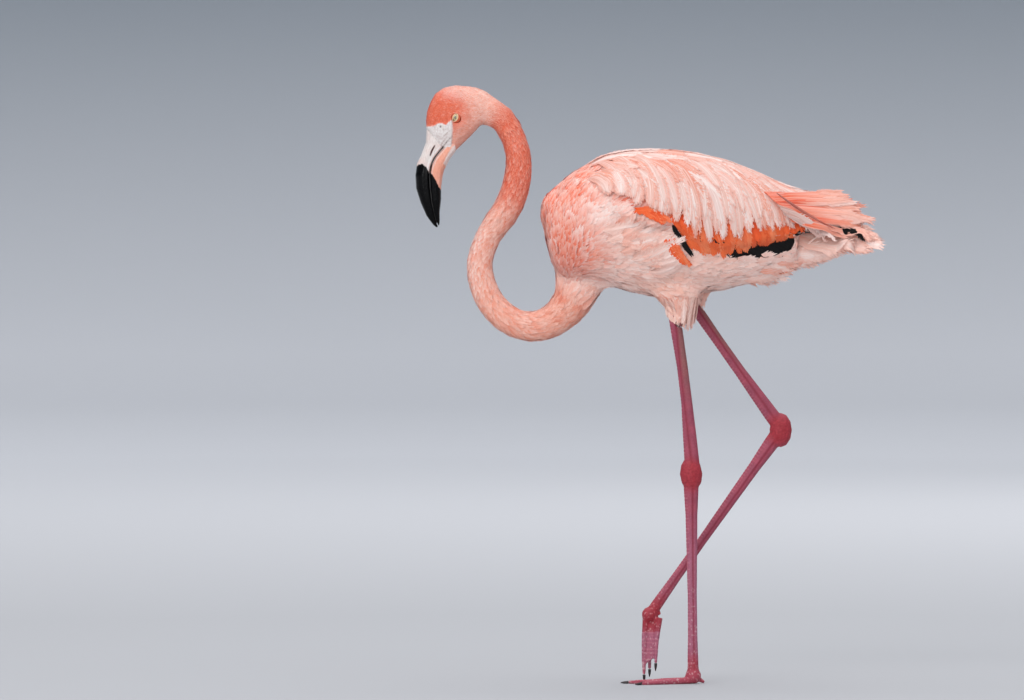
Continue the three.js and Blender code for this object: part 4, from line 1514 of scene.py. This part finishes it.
def laid_tract(ground, side, tract, rng):
    """One tract of long feathers on one side of the bird, from its first root to its last."""
    roots = curve_through(tract.roots, tract.count)
    tips = curve_through(tract.tips, tract.count)
    free = tract.way == "free"
    laid_feathers = []
    for index in range(tract.count):
        stray = rng.normal(0, tract.stray, (2, 2))
        if free:
            root, tip = roots[index] * [1, side, 1], tips[index] * [1, side, 1]
            tip = tip + rng.normal(0, tract.stray, 3)
        else:
            root = ground.seen(tract.way, *(roots[index] + stray[0]), side)
            tip = ground.seen(tract.way, *(tips[index] + stray[1]), side)
        width = tract.width * rng.uniform(0.88, 1.12)
        lift = tract.lift + rng.uniform(0, tract.play)
        facing = (roots[index] - tract.axis) * [1, 1, 0] if tract.axis else tract.facing
        line, facings = laid(ground, root, tip, tract.bulge * rng.uniform(0.8, 1.2), lift, tract.rise,
                             tract.clear, not free, facing, side)
        chart = ground.nearest(root)[2]
        chances = np.array([kind[0] for kind in tract.colours], float)
        kind = tract.colours[rng.choice(len(chances), p=chances / chances.sum())]
        feather = vane(line, facings, width, tract.shape, rng)
        laid_feathers.append((feather, chart, kind[1], kind[2], rng.uniform()))
    return laid_feathers


def make_long_coat(name, ground, tracts, side, material, slot, seed, replaces=()):
    """Several tracts of long feathers on one side, as one piece."""
    rng = np.random.default_rng(seed)
    pile, charts, roots, tips, picks = Pile(), [], [], [], []
    for tract in tracts:
        for parts, chart, root, tip, pick in laid_tract(ground, side, tract, rng):
            for points, faces, values in parts:
                pile.add(points, faces, values)
                charts.append(np.tile(chart, (len(points), 1)))
                roots.append(np.tile(srgb(root), (len(points), 1)))
                tips.append(np.tile(srgb(tip), (len(points), 1)))
                picks.append(np.full(len(points), pick))
    mesh = outward(pile.mesh(name))
    values = np.concatenate(pile.values)
    store(mesh, "along", "FLOAT", values[:, 0])
    store(mesh, "across", "FLOAT", values[:, 1])
    store(mesh, "pick", "FLOAT", np.concatenate(picks))
    store(mesh, "tint_root", "FLOAT_COLOR", np.concatenate(roots))
    store(mesh, "tint_tip", "FLOAT_COLOR", np.concatenate(tips))
    mesh.materials.append(material)
    return finish_coat(name, mesh, np.concatenate(charts), slot, replaces)


PALE = [(4, "#d5a091", "#dfc4bb"), (3, "#d39582", "#dfb9ad"), (1.6, "#d17b62", "#dc9c89"),
        (3, "#d9b2a8", "#e4d1ca")]
ORANGE = [(3, "#ec5e2e", "#f27140"), (2, "#ec673a", "#f5885c"), (1, "#de4a24", "#ec6436")]
BLACK = [(1, "#080607", "#0b090a")]
SALMON = [(3, "#e8704e", "#f8b7a3"), (2, "#e05f40", "#f5a58c"), (2, "#ec8a6c", "#fce0d7")]
WHITISH = [(3, "#f7d2c5", "#fbe6de"), (2, "#f6c3b2", "#fad8cc"), (1, "#f3aa94", "#f8cbbd")]


def tract(name, count, width, lift, colours, roots, tips, way="side", bulge=0.10, stray=0.0025,
          play=0.0012, rise=0.0, clear=0.22, facing=(0, 1, 0.3), axis=None, **shape):
    """A patch of count long feathers, as its own named values.

    Places are (x, z) seen from the side, (x, y) where way is "above", or (x, y, z) where it is "free",
    for feathers that reach past the body. Others cling to the skin at their lift: clear is the share
    of the length by which a feather reaches it, rise how much higher its tip is, play how much the
    lift varies, bulge how far its line bows, and stray how far a place may wander. A free feather
    faces facing, or away from an upright axis. shape is what vane() takes."""
    shape = {"rows": 18, "blunt": 0.82, "fringe": 16, "loose": 0.0035, "twist": 0.06, "camber": 0.06,
             "ragged_from": 0.35, **shape}
    return SimpleNamespace(**locals())


# The folded wing, from its lowest layer to the top one.
WING_TRACTS = [
    tract("remiges", 20, 0.013, 0.0008, BLACK, bulge=0.05, stray=0.0005, play=0.0004, blunt=0.75,
          fringe=5, loose=0.0015, twist=0.0,
          roots=[(0.021, 0.6365), (0.048, 0.6176), (0.08, 0.604), (0.1155, 0.6014), (0.148, 0.607),
                 (0.185, 0.612)],
          tips=[(0.0575, 0.5795), (0.0993, 0.5725), (0.1344, 0.572), (0.1695, 0.577), (0.2046, 0.58),
                (0.235, 0.587)]),
    tract("greater_coverts", 44, 0.0088, 0.0032, ORANGE, bulge=0.08, stray=0.002, play=0.0006, blunt=0.6,
          fringe=18, loose=0.0035, twist=0.04,
          roots=[(0.021, 0.64), (0.05, 0.634), (0.085, 0.629), (0.12, 0.632), (0.155, 0.637),
                 (0.185, 0.64)],
          tips=[(0.059, 0.589), (0.078, 0.5815), (0.104, 0.5825), (0.14, 0.5915), (0.174, 0.601),
                (0.205, 0.612)]),
    tract("bend_coverts", 14, 0.005, 0.0056, ORANGE, bulge=0.05, stray=0.003, play=0.0006, blunt=0.2,
          fringe=16, loose=0.0045,
          roots=[(-0.024, 0.64), (-0.01, 0.638), (0.008, 0.638)],
          tips=[(-0.002, 0.633), (0.01, 0.628), (0.022, 0.622)]),
    tract("lowest_covert", 7, 0.006, 0.0062, ORANGE, bulge=-0.06, stray=0.0018, play=0.0006, blunt=0.3,
          fringe=18, loose=0.004,
          roots=[(0.014, 0.604), (0.02, 0.607), (0.028, 0.612)],
          tips=[(0.04, 0.578), (0.048, 0.571), (0.053, 0.569)]),
    tract("black_edge", 2, 0.0052, 0.0056, BLACK, bulge=-0.06, stray=0.0002, play=0.0003, blunt=0.6,
          fringe=4, loose=0.001, twist=0.0,
          roots=[(0.03, 0.629), (0.0315, 0.627)],
          tips=[(0.0565, 0.5775), (0.059, 0.5785)]),
    tract("black_tip", 3, 0.0075, 0.004, BLACK, way="free", bulge=-0.04, stray=0.0008,
          facing=(0, 1, 0.2), rows=14, blunt=0.4, fringe=5, loose=0.002,
          roots=[(0.244, 0.04, 0.612), (0.248, 0.039, 0.609)],
          tips=[(0.284, 0.03, 0.601), (0.291, 0.029, 0.5985)]),
]
TERTIAL_TRACTS = [
    tract("tertials", 28, 0.0086, 0.003, SALMON, way="free", bulge=-0.01, stray=0.0065,
          facing=(0, 1, 0.35), rows=22, blunt=0.2, fringe=26, loose=0.009, ragged_from=0.66,
          roots=[(0.155, 0.05, 0.663), (0.16, 0.055, 0.659), (0.167, 0.06, 0.652), (0.175, 0.062, 0.646),
                 (0.184, 0.064, 0.636), (0.191, 0.066, 0.624)],
          tips=[(0.236, 0.012, 0.65), (0.254, 0.016, 0.655), (0.278, 0.02, 0.654), (0.291, 0.022, 0.64),
                (0.299, 0.024, 0.624), (0.288, 0.026, 0.609)]),
    tract("grey_tertials", 4, 0.008, 0.004, [(1, "#c9aaa2", "#e3cdc7"), (1, "#d9a090", "#ecd0c6")],
          way="free", bulge=0.04, stray=0.0025, facing=(0, 1, 0.2), rows=20, blunt=0.4, fringe=12,
          loose=0.004,
          roots=[(0.172, 0.071, 0.646), (0.184, 0.072, 0.632)],
          tips=[(0.238, 0.05, 0.601), (0.248, 0.048, 0.599)]),
    tract("crimson_seam", 3, 0.0032, 0.0045, [(1, "#9a3426", "#b04a36")], way="free", bulge=-0.035,
          stray=0.0006, facing=(0, 1, 0.3), rows=16, blunt=0.3, fringe=3, loose=0.001,
          roots=[(0.171, 0.067, 0.662), (0.174, 0.067, 0.659)],
          tips=[(0.248, 0.046, 0.615), (0.254, 0.045, 0.6125)]),
]
PLUME_TRACTS = [
    tract("long_scapulars", 50, 0.0128, 0.0048, PALE, bulge=0.14, stray=0.0034, rise=0.0014, blunt=0.7,
          loose=0.004, ragged_from=0.5,
          roots=[(-0.079, 0.685), (-0.045, 0.6986), (-0.015, 0.7027), (0.008, 0.706), (0.036, 0.708),
                 (0.066, 0.706), (0.096, 0.701)],
          tips=[(-0.052, 0.664), (-0.02, 0.653), (0.018, 0.64), (0.0716, 0.6055), (0.121, 0.609),
                (0.165, 0.616), (0.203, 0.617)]),
    tract("middle_scapulars", 40, 0.012, 0.0054, PALE, bulge=0.12, stray=0.006, rise=0.0008, blunt=0.66,
          loose=0.0045, ragged_from=0.5,
          roots=[(-0.074, 0.694), (-0.038, 0.706), (-0.002, 0.711), (0.036, 0.712), (0.076, 0.708),
                 (0.11, 0.698)],
          tips=[(-0.036, 0.668), (0.008, 0.652), (0.056, 0.6335), (0.104, 0.626), (0.15, 0.628),
                (0.192, 0.628)]),
    tract("upper_scapulars", 38, 0.0122, 0.0056, PALE, way="above", bulge=0.1, stray=0.006, clear=0.6,
          blunt=0.66, loose=0.0045, ragged_from=0.5,
          roots=[(-0.076, 0.026), (-0.04, 0.03), (-0.005, 0.032), (0.035, 0.032), (0.075, 0.03),
                 (0.115, 0.028)],
          tips=[(-0.02, 0.06), (0.036, 0.07), (0.09, 0.07), (0.145, 0.062), (0.19, 0.05),
                (0.222, 0.034)]),
    tract("back_scapulars", 26, 0.011, 0.005, PALE, way="above", bulge=0.02, stray=0.005, clear=0.6,
          roots=[(-0.084, 0.014), (-0.045, 0.017), (-0.005, 0.02), (0.035, 0.02), (0.08, 0.019),
                 (0.13, 0.017)],
          tips=[(-0.02, 0.03), (0.036, 0.04), (0.09, 0.04), (0.14, 0.036), (0.185, 0.028),
                (0.226, 0.02)]),
    tract("back_plumes", 24, 0.0125, 0.0052, PALE, way="above", bulge=-0.01, stray=0.004, clear=0.6,
          roots=[(-0.084, 0.004), (-0.045, 0.006), (-0.005, 0.007), (0.035, 0.008), (0.08, 0.008),
                 (0.13, 0.007)],
          tips=[(-0.02, 0.01), (0.036, 0.014), (0.09, 0.015), (0.14, 0.014), (0.185, 0.011),
                (0.232, 0.006)]),
    tract("ridge_plumes", 18, 0.015, 0.0058, PALE, way="above", bulge=0.0, stray=0.0025, clear=0.6,
          roots=[(-0.088, 0.0), (-0.03, 0.0), (0.04, 0.0), (0.1, 0.0), (0.13, 0.0)],
          tips=[(-0.03, 0.001), (0.04, 0.001), (0.11, 0.001), (0.175, 0.001), (0.215, 0.001)]),
]
FLANK_TRACTS = [
    tract("flank", 30, 0.008, 0.0056, WHITISH, bulge=-0.05, stray=0.006, blunt=0.3, fringe=28,
          loose=0.009, ragged_from=0.1,
          roots=[(-0.058, 0.617), (-0.044, 0.599), (-0.028, 0.585), (-0.012, 0.573), (0.0, 0.56)],
          tips=[(-0.02, 0.622), (-0.002, 0.614), (0.02, 0.606), (0.03, 0.592), (0.042, 0.57)]),
]
TAIL_TRACTS = [
    tract("tail", 12, 0.017, 0.001, WHITISH, way="free", bulge=0.02, stray=0.003, facing=(0, 0.8, 0.6),
          rows=22, blunt=0.7, fringe=22, loose=0.009, ragged_from=0.55,
          roots=[(0.19, 0.01, 0.626), (0.195, 0.016, 0.616), (0.2, 0.022, 0.606), (0.2, 0.026, 0.596)],
          tips=[(0.294, 0.006, 0.614), (0.309, 0.012, 0.596), (0.302, 0.02, 0.592),
                (0.268, 0.028, 0.586)]),
    tract("undertail_coverts", 18, 0.013, 0.002, WHITISH, way="free", bulge=-0.03, stray=0.004,
          facing=(0, 1, -0.4), blunt=0.66, fringe=24, loose=0.01, ragged_from=0.3,
          roots=[(0.12, 0.02, 0.56), (0.15, 0.024, 0.571), (0.18, 0.026, 0.584), (0.2, 0.024, 0.595)],
          tips=[(0.17, 0.014, 0.556), (0.2, 0.016, 0.567), (0.236, 0.018, 0.579),
                (0.262, 0.014, 0.588)]),
    tract("tail_core", 12, 0.022, 0.002, WHITISH, way="free", bulge=0.0, stray=0.003,
          facing=(0, 0.35, 1), blunt=0.6, fringe=16, loose=0.006, ragged_from=0.5,
          roots=[(0.186, 0.004, 0.628), (0.188, 0.01, 0.606), (0.178, 0.006, 0.58), (0.16, 0.01, 0.564)],
          tips=[(0.288, 0.004, 0.612), (0.292, 0.008, 0.6), (0.262, 0.006, 0.588),
                (0.222, 0.008, 0.575)]),
    tract("uppertail_coverts", 14, 0.016, 0.002, WHITISH, way="free", bulge=0.02, stray=0.003,
          facing=(0, 0.6, 1), blunt=0.6, fringe=18, loose=0.006, ragged_from=0.5,
          roots=[(0.16, 0.004, 0.664), (0.172, 0.016, 0.655), (0.184, 0.03, 0.64)],
          tips=[(0.25, 0.003, 0.646), (0.262, 0.011, 0.634), (0.27, 0.02, 0.618)]),
]
# Loose white feathers all round the thighs, which draw together over the tops of the shanks.
THIGH_SHAPE = {"fringe": 18, "loose": 0.006, "ragged_from": 0.05, "blunt": 0.2, "rows": 10}
THIGH_TRACTS = {
    "left": tract("thigh_wisps", 56, 0.0038, 0.002, WHITISH, way="free", bulge=0.02, stray=0.0028,
                  axis=(0.04, 0.027, 0.0), **THIGH_SHAPE,
                  roots=[(0.014, 0.03, 0.532), (0.022, 0.043, 0.526), (0.04, 0.049, 0.522),
                         (0.058, 0.044, 0.522), (0.068, 0.028, 0.527), (0.056, 0.011, 0.524),
                         (0.038, 0.006, 0.522), (0.02, 0.012, 0.528)],
                  tips=[(0.03, 0.03, 0.508), (0.035, 0.034, 0.501), (0.044, 0.036, 0.492),
                        (0.053, 0.034, 0.484), (0.06, 0.028, 0.489), (0.052, 0.02, 0.494),
                        (0.04, 0.019, 0.499), (0.031, 0.022, 0.506)]),
    "right": tract("thigh_wisps", 22, 0.0038, 0.002, WHITISH, way="free", bulge=0.02, stray=0.0025,
                   axis=(0.062, 0.028, 0.0), **THIGH_SHAPE,
                   roots=[(0.042, 0.028, 0.538), (0.058, 0.044, 0.534), (0.078, 0.03, 0.534),
                          (0.06, 0.014, 0.534), (0.046, 0.022, 0.538)],
                   tips=[(0.055, 0.03, 0.521), (0.064, 0.038, 0.519), (0.079, 0.031, 0.518),
                         (0.066, 0.022, 0.519), (0.058, 0.026, 0.521)]),
}


def make_wings(ground):
    strong = plumage_material("strong_plumage", 0.9, "#f2906a", 0.0, varied=0.55)
    horny = plumage_material("wing_plumage", 1.0, "#fbd3c6", 0.45, "#f9c4b4")
    for side, sign in SIDES.items():
        make_long_coat(f"wing_feathers_{side}", ground, WING_TRACTS, sign, strong, "wing", 100 + sign,
                       [f"quills_{side}"])
        make_long_coat(f"tertials_{side}", ground, TERTIAL_TRACTS, sign, horny, "wing", 120 + sign)


def make_plumes(ground):
    # f09c84 is the long plumes' salmon rim: partly their own margin colour, partly painted shade in the gaps
    # between neighbouring plumes.
    plume = plumage_material("long_plumage", 1.0, "#f09c84", 0.55, "#fdeee9")
    soft = plumage_material("flank_plumage", 1.0, "#f6bda9", 0.3, "#fdf1ec")
    for side, sign in SIDES.items():
        make_long_coat(f"plumes_{side}", ground, PLUME_TRACTS, sign, plume, "plumage", 140 + sign)
        make_long_coat(f"flank_{side}", ground, FLANK_TRACTS, sign, soft, "plumage", 150 + sign)


def make_tail_and_thighs(ground):
    loose = plumage_material("loose_plumage", 1.0, "#f6bda9", 0.4, "#fdf1ec")
    for side, sign in SIDES.items():
        make_long_coat(f"tail_feathers_{side}", ground, TAIL_TRACTS, sign, loose, "plumage", 160 + sign,
                       ["tail"] if side == "left" else ())
        make_long_coat(f"thigh_wisps_{side}", ground, [THIGH_TRACTS[side]], sign, loose, "plumage",
                       180 + sign)


THIGHS_BELOW = 0.53  # the skin is kept whole from here down


def finish_skin(skin, thinned):
    """Drops what only the coats needed, and thins the skin where they hide it."""
    mesh = skin.data
    for name in ("cover_head", "cover_neck", "cover_body", "reach", "out", "lie", "tint_root", "tint_tip"):
        mesh.attributes.remove(mesh.attributes[name])
    points = points_of(mesh)
    leg, bare = (read(mesh.attributes[name].data, "value", 1) for name in ("leg", "bare"))
    hidden = (leg == 0) & (bare == 0) & (points[:, 2] > THIGHS_BELOW) & (from_lids(points) > 0.006)
    skin.vertex_groups.new(name="hidden").add(np.flatnonzero(hidden).tolist(), 1.0, "REPLACE")
    thin = skin.modifiers.new("Thin", "DECIMATE")
    thin.vertex_group = "hidden"
    thin.ratio = thinned
    done = as_modified(skin)
    skin.modifiers.clear()
    skin.vertex_groups.clear()
    skin.data = done


# ---- Stage ----

def stage_material(name, low, high, start, end, roughness):
    """A plain matt finish that shades from one colour to another with height, with painted light that
    brightens the floor and the wall's foot with distance from the middle.
    """
    shader = Shader(name, roughness, specular=0.2)
    height = shader.node("ShaderNodeSeparateXYZ", {"Vector": shader.place()}).outputs["Z"]
    soft = shader.noise(shader.place(), 0.35, 2.0)
    share = shader.math("ADD", shader.ranged(height, start, end), shader.ranged(soft, 0, 1, -0.03, 0.03))
    away = shader.node("ShaderNodeVectorMath", {0: shader.place()}, operation="LENGTH").outputs["Value"]
    # Painted light: the floor's colour brightens with distance from the middle, up to 1.62 times, where the
    # lamps light it less.
    foot = shader.mix(shader.ranged(away, 2.0, 11.0), low, tuple(c * 1.62 for c in low[:3]) + (1.0,))
    shader.colour(shader.mix(share, foot, high))
    return shader.material


def make_floor(settings):
    """A wide pale floor that rises into a far round wall."""
    turns, bends = 96, 12
    flat, wall, height = 17.0, 25.0, 9.0
    profile = [(3.0, 0.0), (flat, 0.0)]
    for step in range(1, bends + 1):
        bend = math.pi / 2 * step / bends
        profile.append((flat + (wall - flat) * math.sin(bend), (wall - flat) * (1 - math.cos(bend))))
    profile.append((wall, (wall - flat) + height))
    around = np.linspace(0, 2 * math.pi, turns, endpoint=False)
    rows = [np.stack([r * np.cos(around), r * np.sin(around), np.full(turns, z)], axis=1)
            for r, z in profile]
    points = np.vstack([[[0, 0, 0]]] + rows)
    points[:, 2] -= 0.0001
    grid = 1 + np.arange(len(rows) * turns).reshape(len(rows), turns)
    quads = np.stack([grid[:-1], np.roll(grid[:-1], -1, 1), np.roll(grid[1:], -1, 1), grid[1:]], -1)
    quads = quads.reshape(-1, 4)[:, ::-1]
    middle = np.stack([np.zeros(turns, int), grid[0], np.roll(grid[0], -1)], axis=1)
    triangles = np.vstack([middle, quads[:, [0, 1, 2]], quads[:, [0, 2, 3]]])
    floor = object_from("floor", mesh_from("floor", points, triangles))
    floor.data.materials.append(stage_material("pale_floor", (*settings.floor_colour, 1.0),
                                               (*settings.wall_colour, 1.0), 0.15, 1.7, 0.9))
    floor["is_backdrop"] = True


# Each lamp's name, place, breadth and share of the key light's power.
LAMPS = [("key", (-3.5, -7.0, 5.0), 5.0, 1.0), ("top", (0.5, 1.0, 7.5), 6.0, 0.45),
         ("fill", (-1.0, -8.5, 1.0), 4.0, 0.70), ("back", (2.5, 7.0, 4.5), 4.0, 0.40)]


def aimed(obj, place, target):
    """The object put at a place in the scene and turned to look at a target."""
    obj.location = place
    obj.rotation_euler = (Vector(target) - obj.location).to_track_quat("-Z", "Y").to_euler()
    bpy.context.scene.collection.objects.link(obj)
    return obj


def make_lights(settings):
    """Pale light from all round and four broad soft lamps."""
    world = bpy.data.worlds.new("studio")
    bpy.context.scene.world = world
    world.use_nodes = True
    background = world.node_tree.nodes["Background"]
    background.inputs["Color"].default_value = (0.93, 0.96, 1.0, 1.0)
    background.inputs["Strength"].default_value = settings.sky_light
    for name, place, breadth, share in LAMPS:
        light = bpy.data.lights.new(name, "AREA")
        light.shape = "DISK"
        light.size = breadth
        light.energy = settings.key_light * share
        aimed(bpy.data.objects.new(name, light), place, (0.0, 0.0, 0.5))


def make_camera(settings):
    """A long lens at the bird's left side, a little over half its height."""
    lens = bpy.data.cameras.new("camera")
    lens.lens = settings.lens
    lens.sensor_width = 36.0
    lens.clip_end = 100.0
    place = (settings.view_middle, -settings.view_distance, settings.view_height)
    target = (settings.view_middle, 0.0, settings.view_aim)
    bpy.context.scene.camera = aimed(bpy.data.objects.new("camera", lens), place, target)
    bpy.context.scene.view_settings.view_transform = "Standard"


# ---- The add-on ----

def length(name, description, default, **limits):
    return bpy.props.FloatProperty(name=name, description=description, default=default,
                                   unit="LENGTH", precision=4, **limits)


class FlamingoSettings(bpy.types.PropertyGroup):
    face_voxel: length("Face grain", "Size of the finest shape kept on the head", 0.0015, min=0.0005)
    body_voxel: length("Body grain", "Size of the finest shape kept under the coat", 0.0030, min=0.001)
    leg_voxel: length("Leg grain", "Size of the finest shape kept on the legs", 0.00125, min=0.0005)
    bill_voxel: length("Bill grain", "Size of the finest shape kept on the bill", 0.0007, min=0.0003)
    claw_voxel: length("Claw grain", "Size of the finest shape kept on the claws", 0.0004, min=0.0002)
    head_feather: length("Head feather", "Length of a feather of the head", 0.0046, min=0.001)
    head_spacing: length("Head spacing", "Least gap between feathers of the head", 0.00110, min=0.0005)
    neck_feather: length("Neck feather", "Length of a feather of the neck", 0.0112, min=0.002)
    neck_spacing: length("Neck spacing", "Least gap between feathers of the neck", 0.0025, min=0.001)
    body_feather: length("Body feather", "Length of a small feather of the body", 0.0250, min=0.004)
    body_spacing: length("Body spacing", "Least gap between small feathers of the body", 0.0047, min=0.002)
    skin_kept: bpy.props.FloatProperty(name="Skin kept", default=0.72, min=0.6, max=1.0, subtype="FACTOR",
                                       description="Share of the skin's triangles that is kept at the end")
    lens: bpy.props.FloatProperty(name="Lens", description="The camera's focal length",
                                  default=300.0, unit="CAMERA")
    view_distance: length("Distance", "How far the camera stands from the bird's middle plane", 11.52)
    view_height: length("Camera height", "The camera's height above the floor", 0.63)
    view_aim: length("Aim", "The height that the camera looks at", 0.450)
    view_middle: length("Middle", "Where the camera stands along the bird's length", -0.184)
    key_light: bpy.props.FloatProperty(name="Key light", description="The main light's power",
                                       default=284.0, unit="POWER")
    sky_light: bpy.props.FloatProperty(name="Sky light", description="Strength of the light from all round",
                                       default=1.30, min=0.0)
    floor_colour: bpy.props.FloatVectorProperty(name="Floor", description="The floor's colour", size=3,
                                                subtype="COLOR", default=srgb("#aaaaad"))
    wall_colour: bpy.props.FloatVectorProperty(name="Wall", description="The far wall's colour", size=3,
                                               subtype="COLOR", default=srgb("#888f97"))


def settings_of(context):
    return context.scene.flamingo


class FlamingoStage(bpy.types.Operator):
    """Lay the floor, hang the lights and set the camera."""
    bl_idname = "flamingo.stage"
    bl_label = "Stage"

    def execute(self, context):
        settings = settings_of(context)
        make_floor(settings)
        make_lights(settings)
        make_camera(settings)
        return {"FINISHED"}


class FlamingoSkin(bpy.types.Operator):
    """Draw one skin over the head, neck, trunk, wings, thighs and legs."""
    bl_idname = "flamingo.skin"
    bl_label = "Skin"

    def execute(self, context):
        handed_in(make_skin(settings_of(context)), "skin", flesh_nodes())
        return {"FINISHED"}


class FlamingoBill(bpy.types.Operator):
    """Finish the two jaws in horn, with the nostrils and the mouth's line darkened in painted shade."""
    bl_idname = "flamingo.bill"
    bl_label = "Bill"

    def execute(self, context):
        make_bill(settings_of(context))
        return {"FINISHED"}


class FlamingoEyes(bpy.types.Operator):
    """Set both eyes in their lids."""
    bl_idname = "flamingo.eyes"
    bl_label = "Eyes"

    def execute(self, context):
        make_eyes()
        return {"FINISHED"}


class FlamingoClaws(bpy.types.Operator):
    """Finish the claws in dark horn."""
    bl_idname = "flamingo.claws"
    bl_label = "Claws"

    def execute(self, context):
        make_claws(settings_of(context))
        return {"FINISHED"}


class FlamingoCoat(bpy.types.Operator):
    """Strew small feathers over the head, the neck and the body."""
    bl_idname = "flamingo.coat"
    bl_label = "Small feathers"

    def execute(self, context):
        skin = bpy.data.objects["skin"]
        prepare_coat(skin)
        make_small_feathers(skin, settings_of(context))
        return {"FINISHED"}


class FlamingoWings(bpy.types.Operator):
    """Lay the black, orange and salmon feathers of the folded wings."""
    bl_idname = "flamingo.wings"
    bl_label = "Wing feathers"

    def execute(self, context):
        make_wings(Ground(bpy.data.objects["skin"].data))
        return {"FINISHED"}


class FlamingoPlumes(bpy.types.Operator):
    """Lay the long pale plumes of the back and the soft ones of the flanks."""
    bl_idname = "flamingo.plumes"
    bl_label = "Plumes"

    def execute(self, context):
        make_plumes(Ground(bpy.data.objects["skin"].data))
        return {"FINISHED"}


class FlamingoTail(bpy.types.Operator):
    """Lay the tail's feathers and the loose ones round the thighs."""
    bl_idname = "flamingo.tail"
    bl_label = "Tail and thighs"

    def execute(self, context):
        make_tail_and_thighs(Ground(bpy.data.objects["skin"].data))
        return {"FINISHED"}


class FlamingoFinish(bpy.types.Operator):
    """Thin the skin where the coat hides it."""
    bl_idname = "flamingo.finish"
    bl_label = "Hidden skin"

    def execute(self, context):
        finish_skin(bpy.data.objects["skin"], settings_of(context).skin_kept)
        return {"FINISHED"}


OPERATORS = [FlamingoStage, FlamingoSkin, FlamingoBill, FlamingoEyes, FlamingoClaws, FlamingoCoat,
             FlamingoWings, FlamingoPlumes, FlamingoTail, FlamingoFinish]


class FlamingoPanel(bpy.types.Panel):
    """Lists the steps that make the bird."""
    bl_idname = "VIEW3D_PT_flamingo"
    bl_label = "Flamingo"
    bl_space_type = "VIEW_3D"
    bl_region_type = "UI"
    bl_category = "Flamingo"

    def draw(self, context):
        for step in OPERATORS:
            self.layout.operator(step.bl_idname)
        for name in FlamingoSettings.__annotations__:
            self.layout.prop(settings_of(context), name)


CLASSES = [FlamingoSettings, *OPERATORS, FlamingoPanel]


def register():
    for made in CLASSES:
        bpy.utils.register_class(made)
    bpy.types.Scene.flamingo = bpy.props.PointerProperty(type=FlamingoSettings)


def unregister():
    del bpy.types.Scene.flamingo
    for made in reversed(CLASSES):
        bpy.utils.unregister_class(made)


def flesh_nodes():
    parts = ["thigh", "shank", "ankle", "tarsus", "foot", "wing"]
    return ["head", "trunk", *NECK_NODES, *(f"{part}_{side}" for part in parts for side in SIDES)]


def main():
    register()
    for step in OPERATORS:
        group, name = step.bl_idname.split(".")
        getattr(getattr(bpy.ops, group), name)()
    sizes = {"cad": [list(corner) for corner in CAD_BOX], "visual": [list(c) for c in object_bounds()]}


if __name__ == "__main__":
    main()
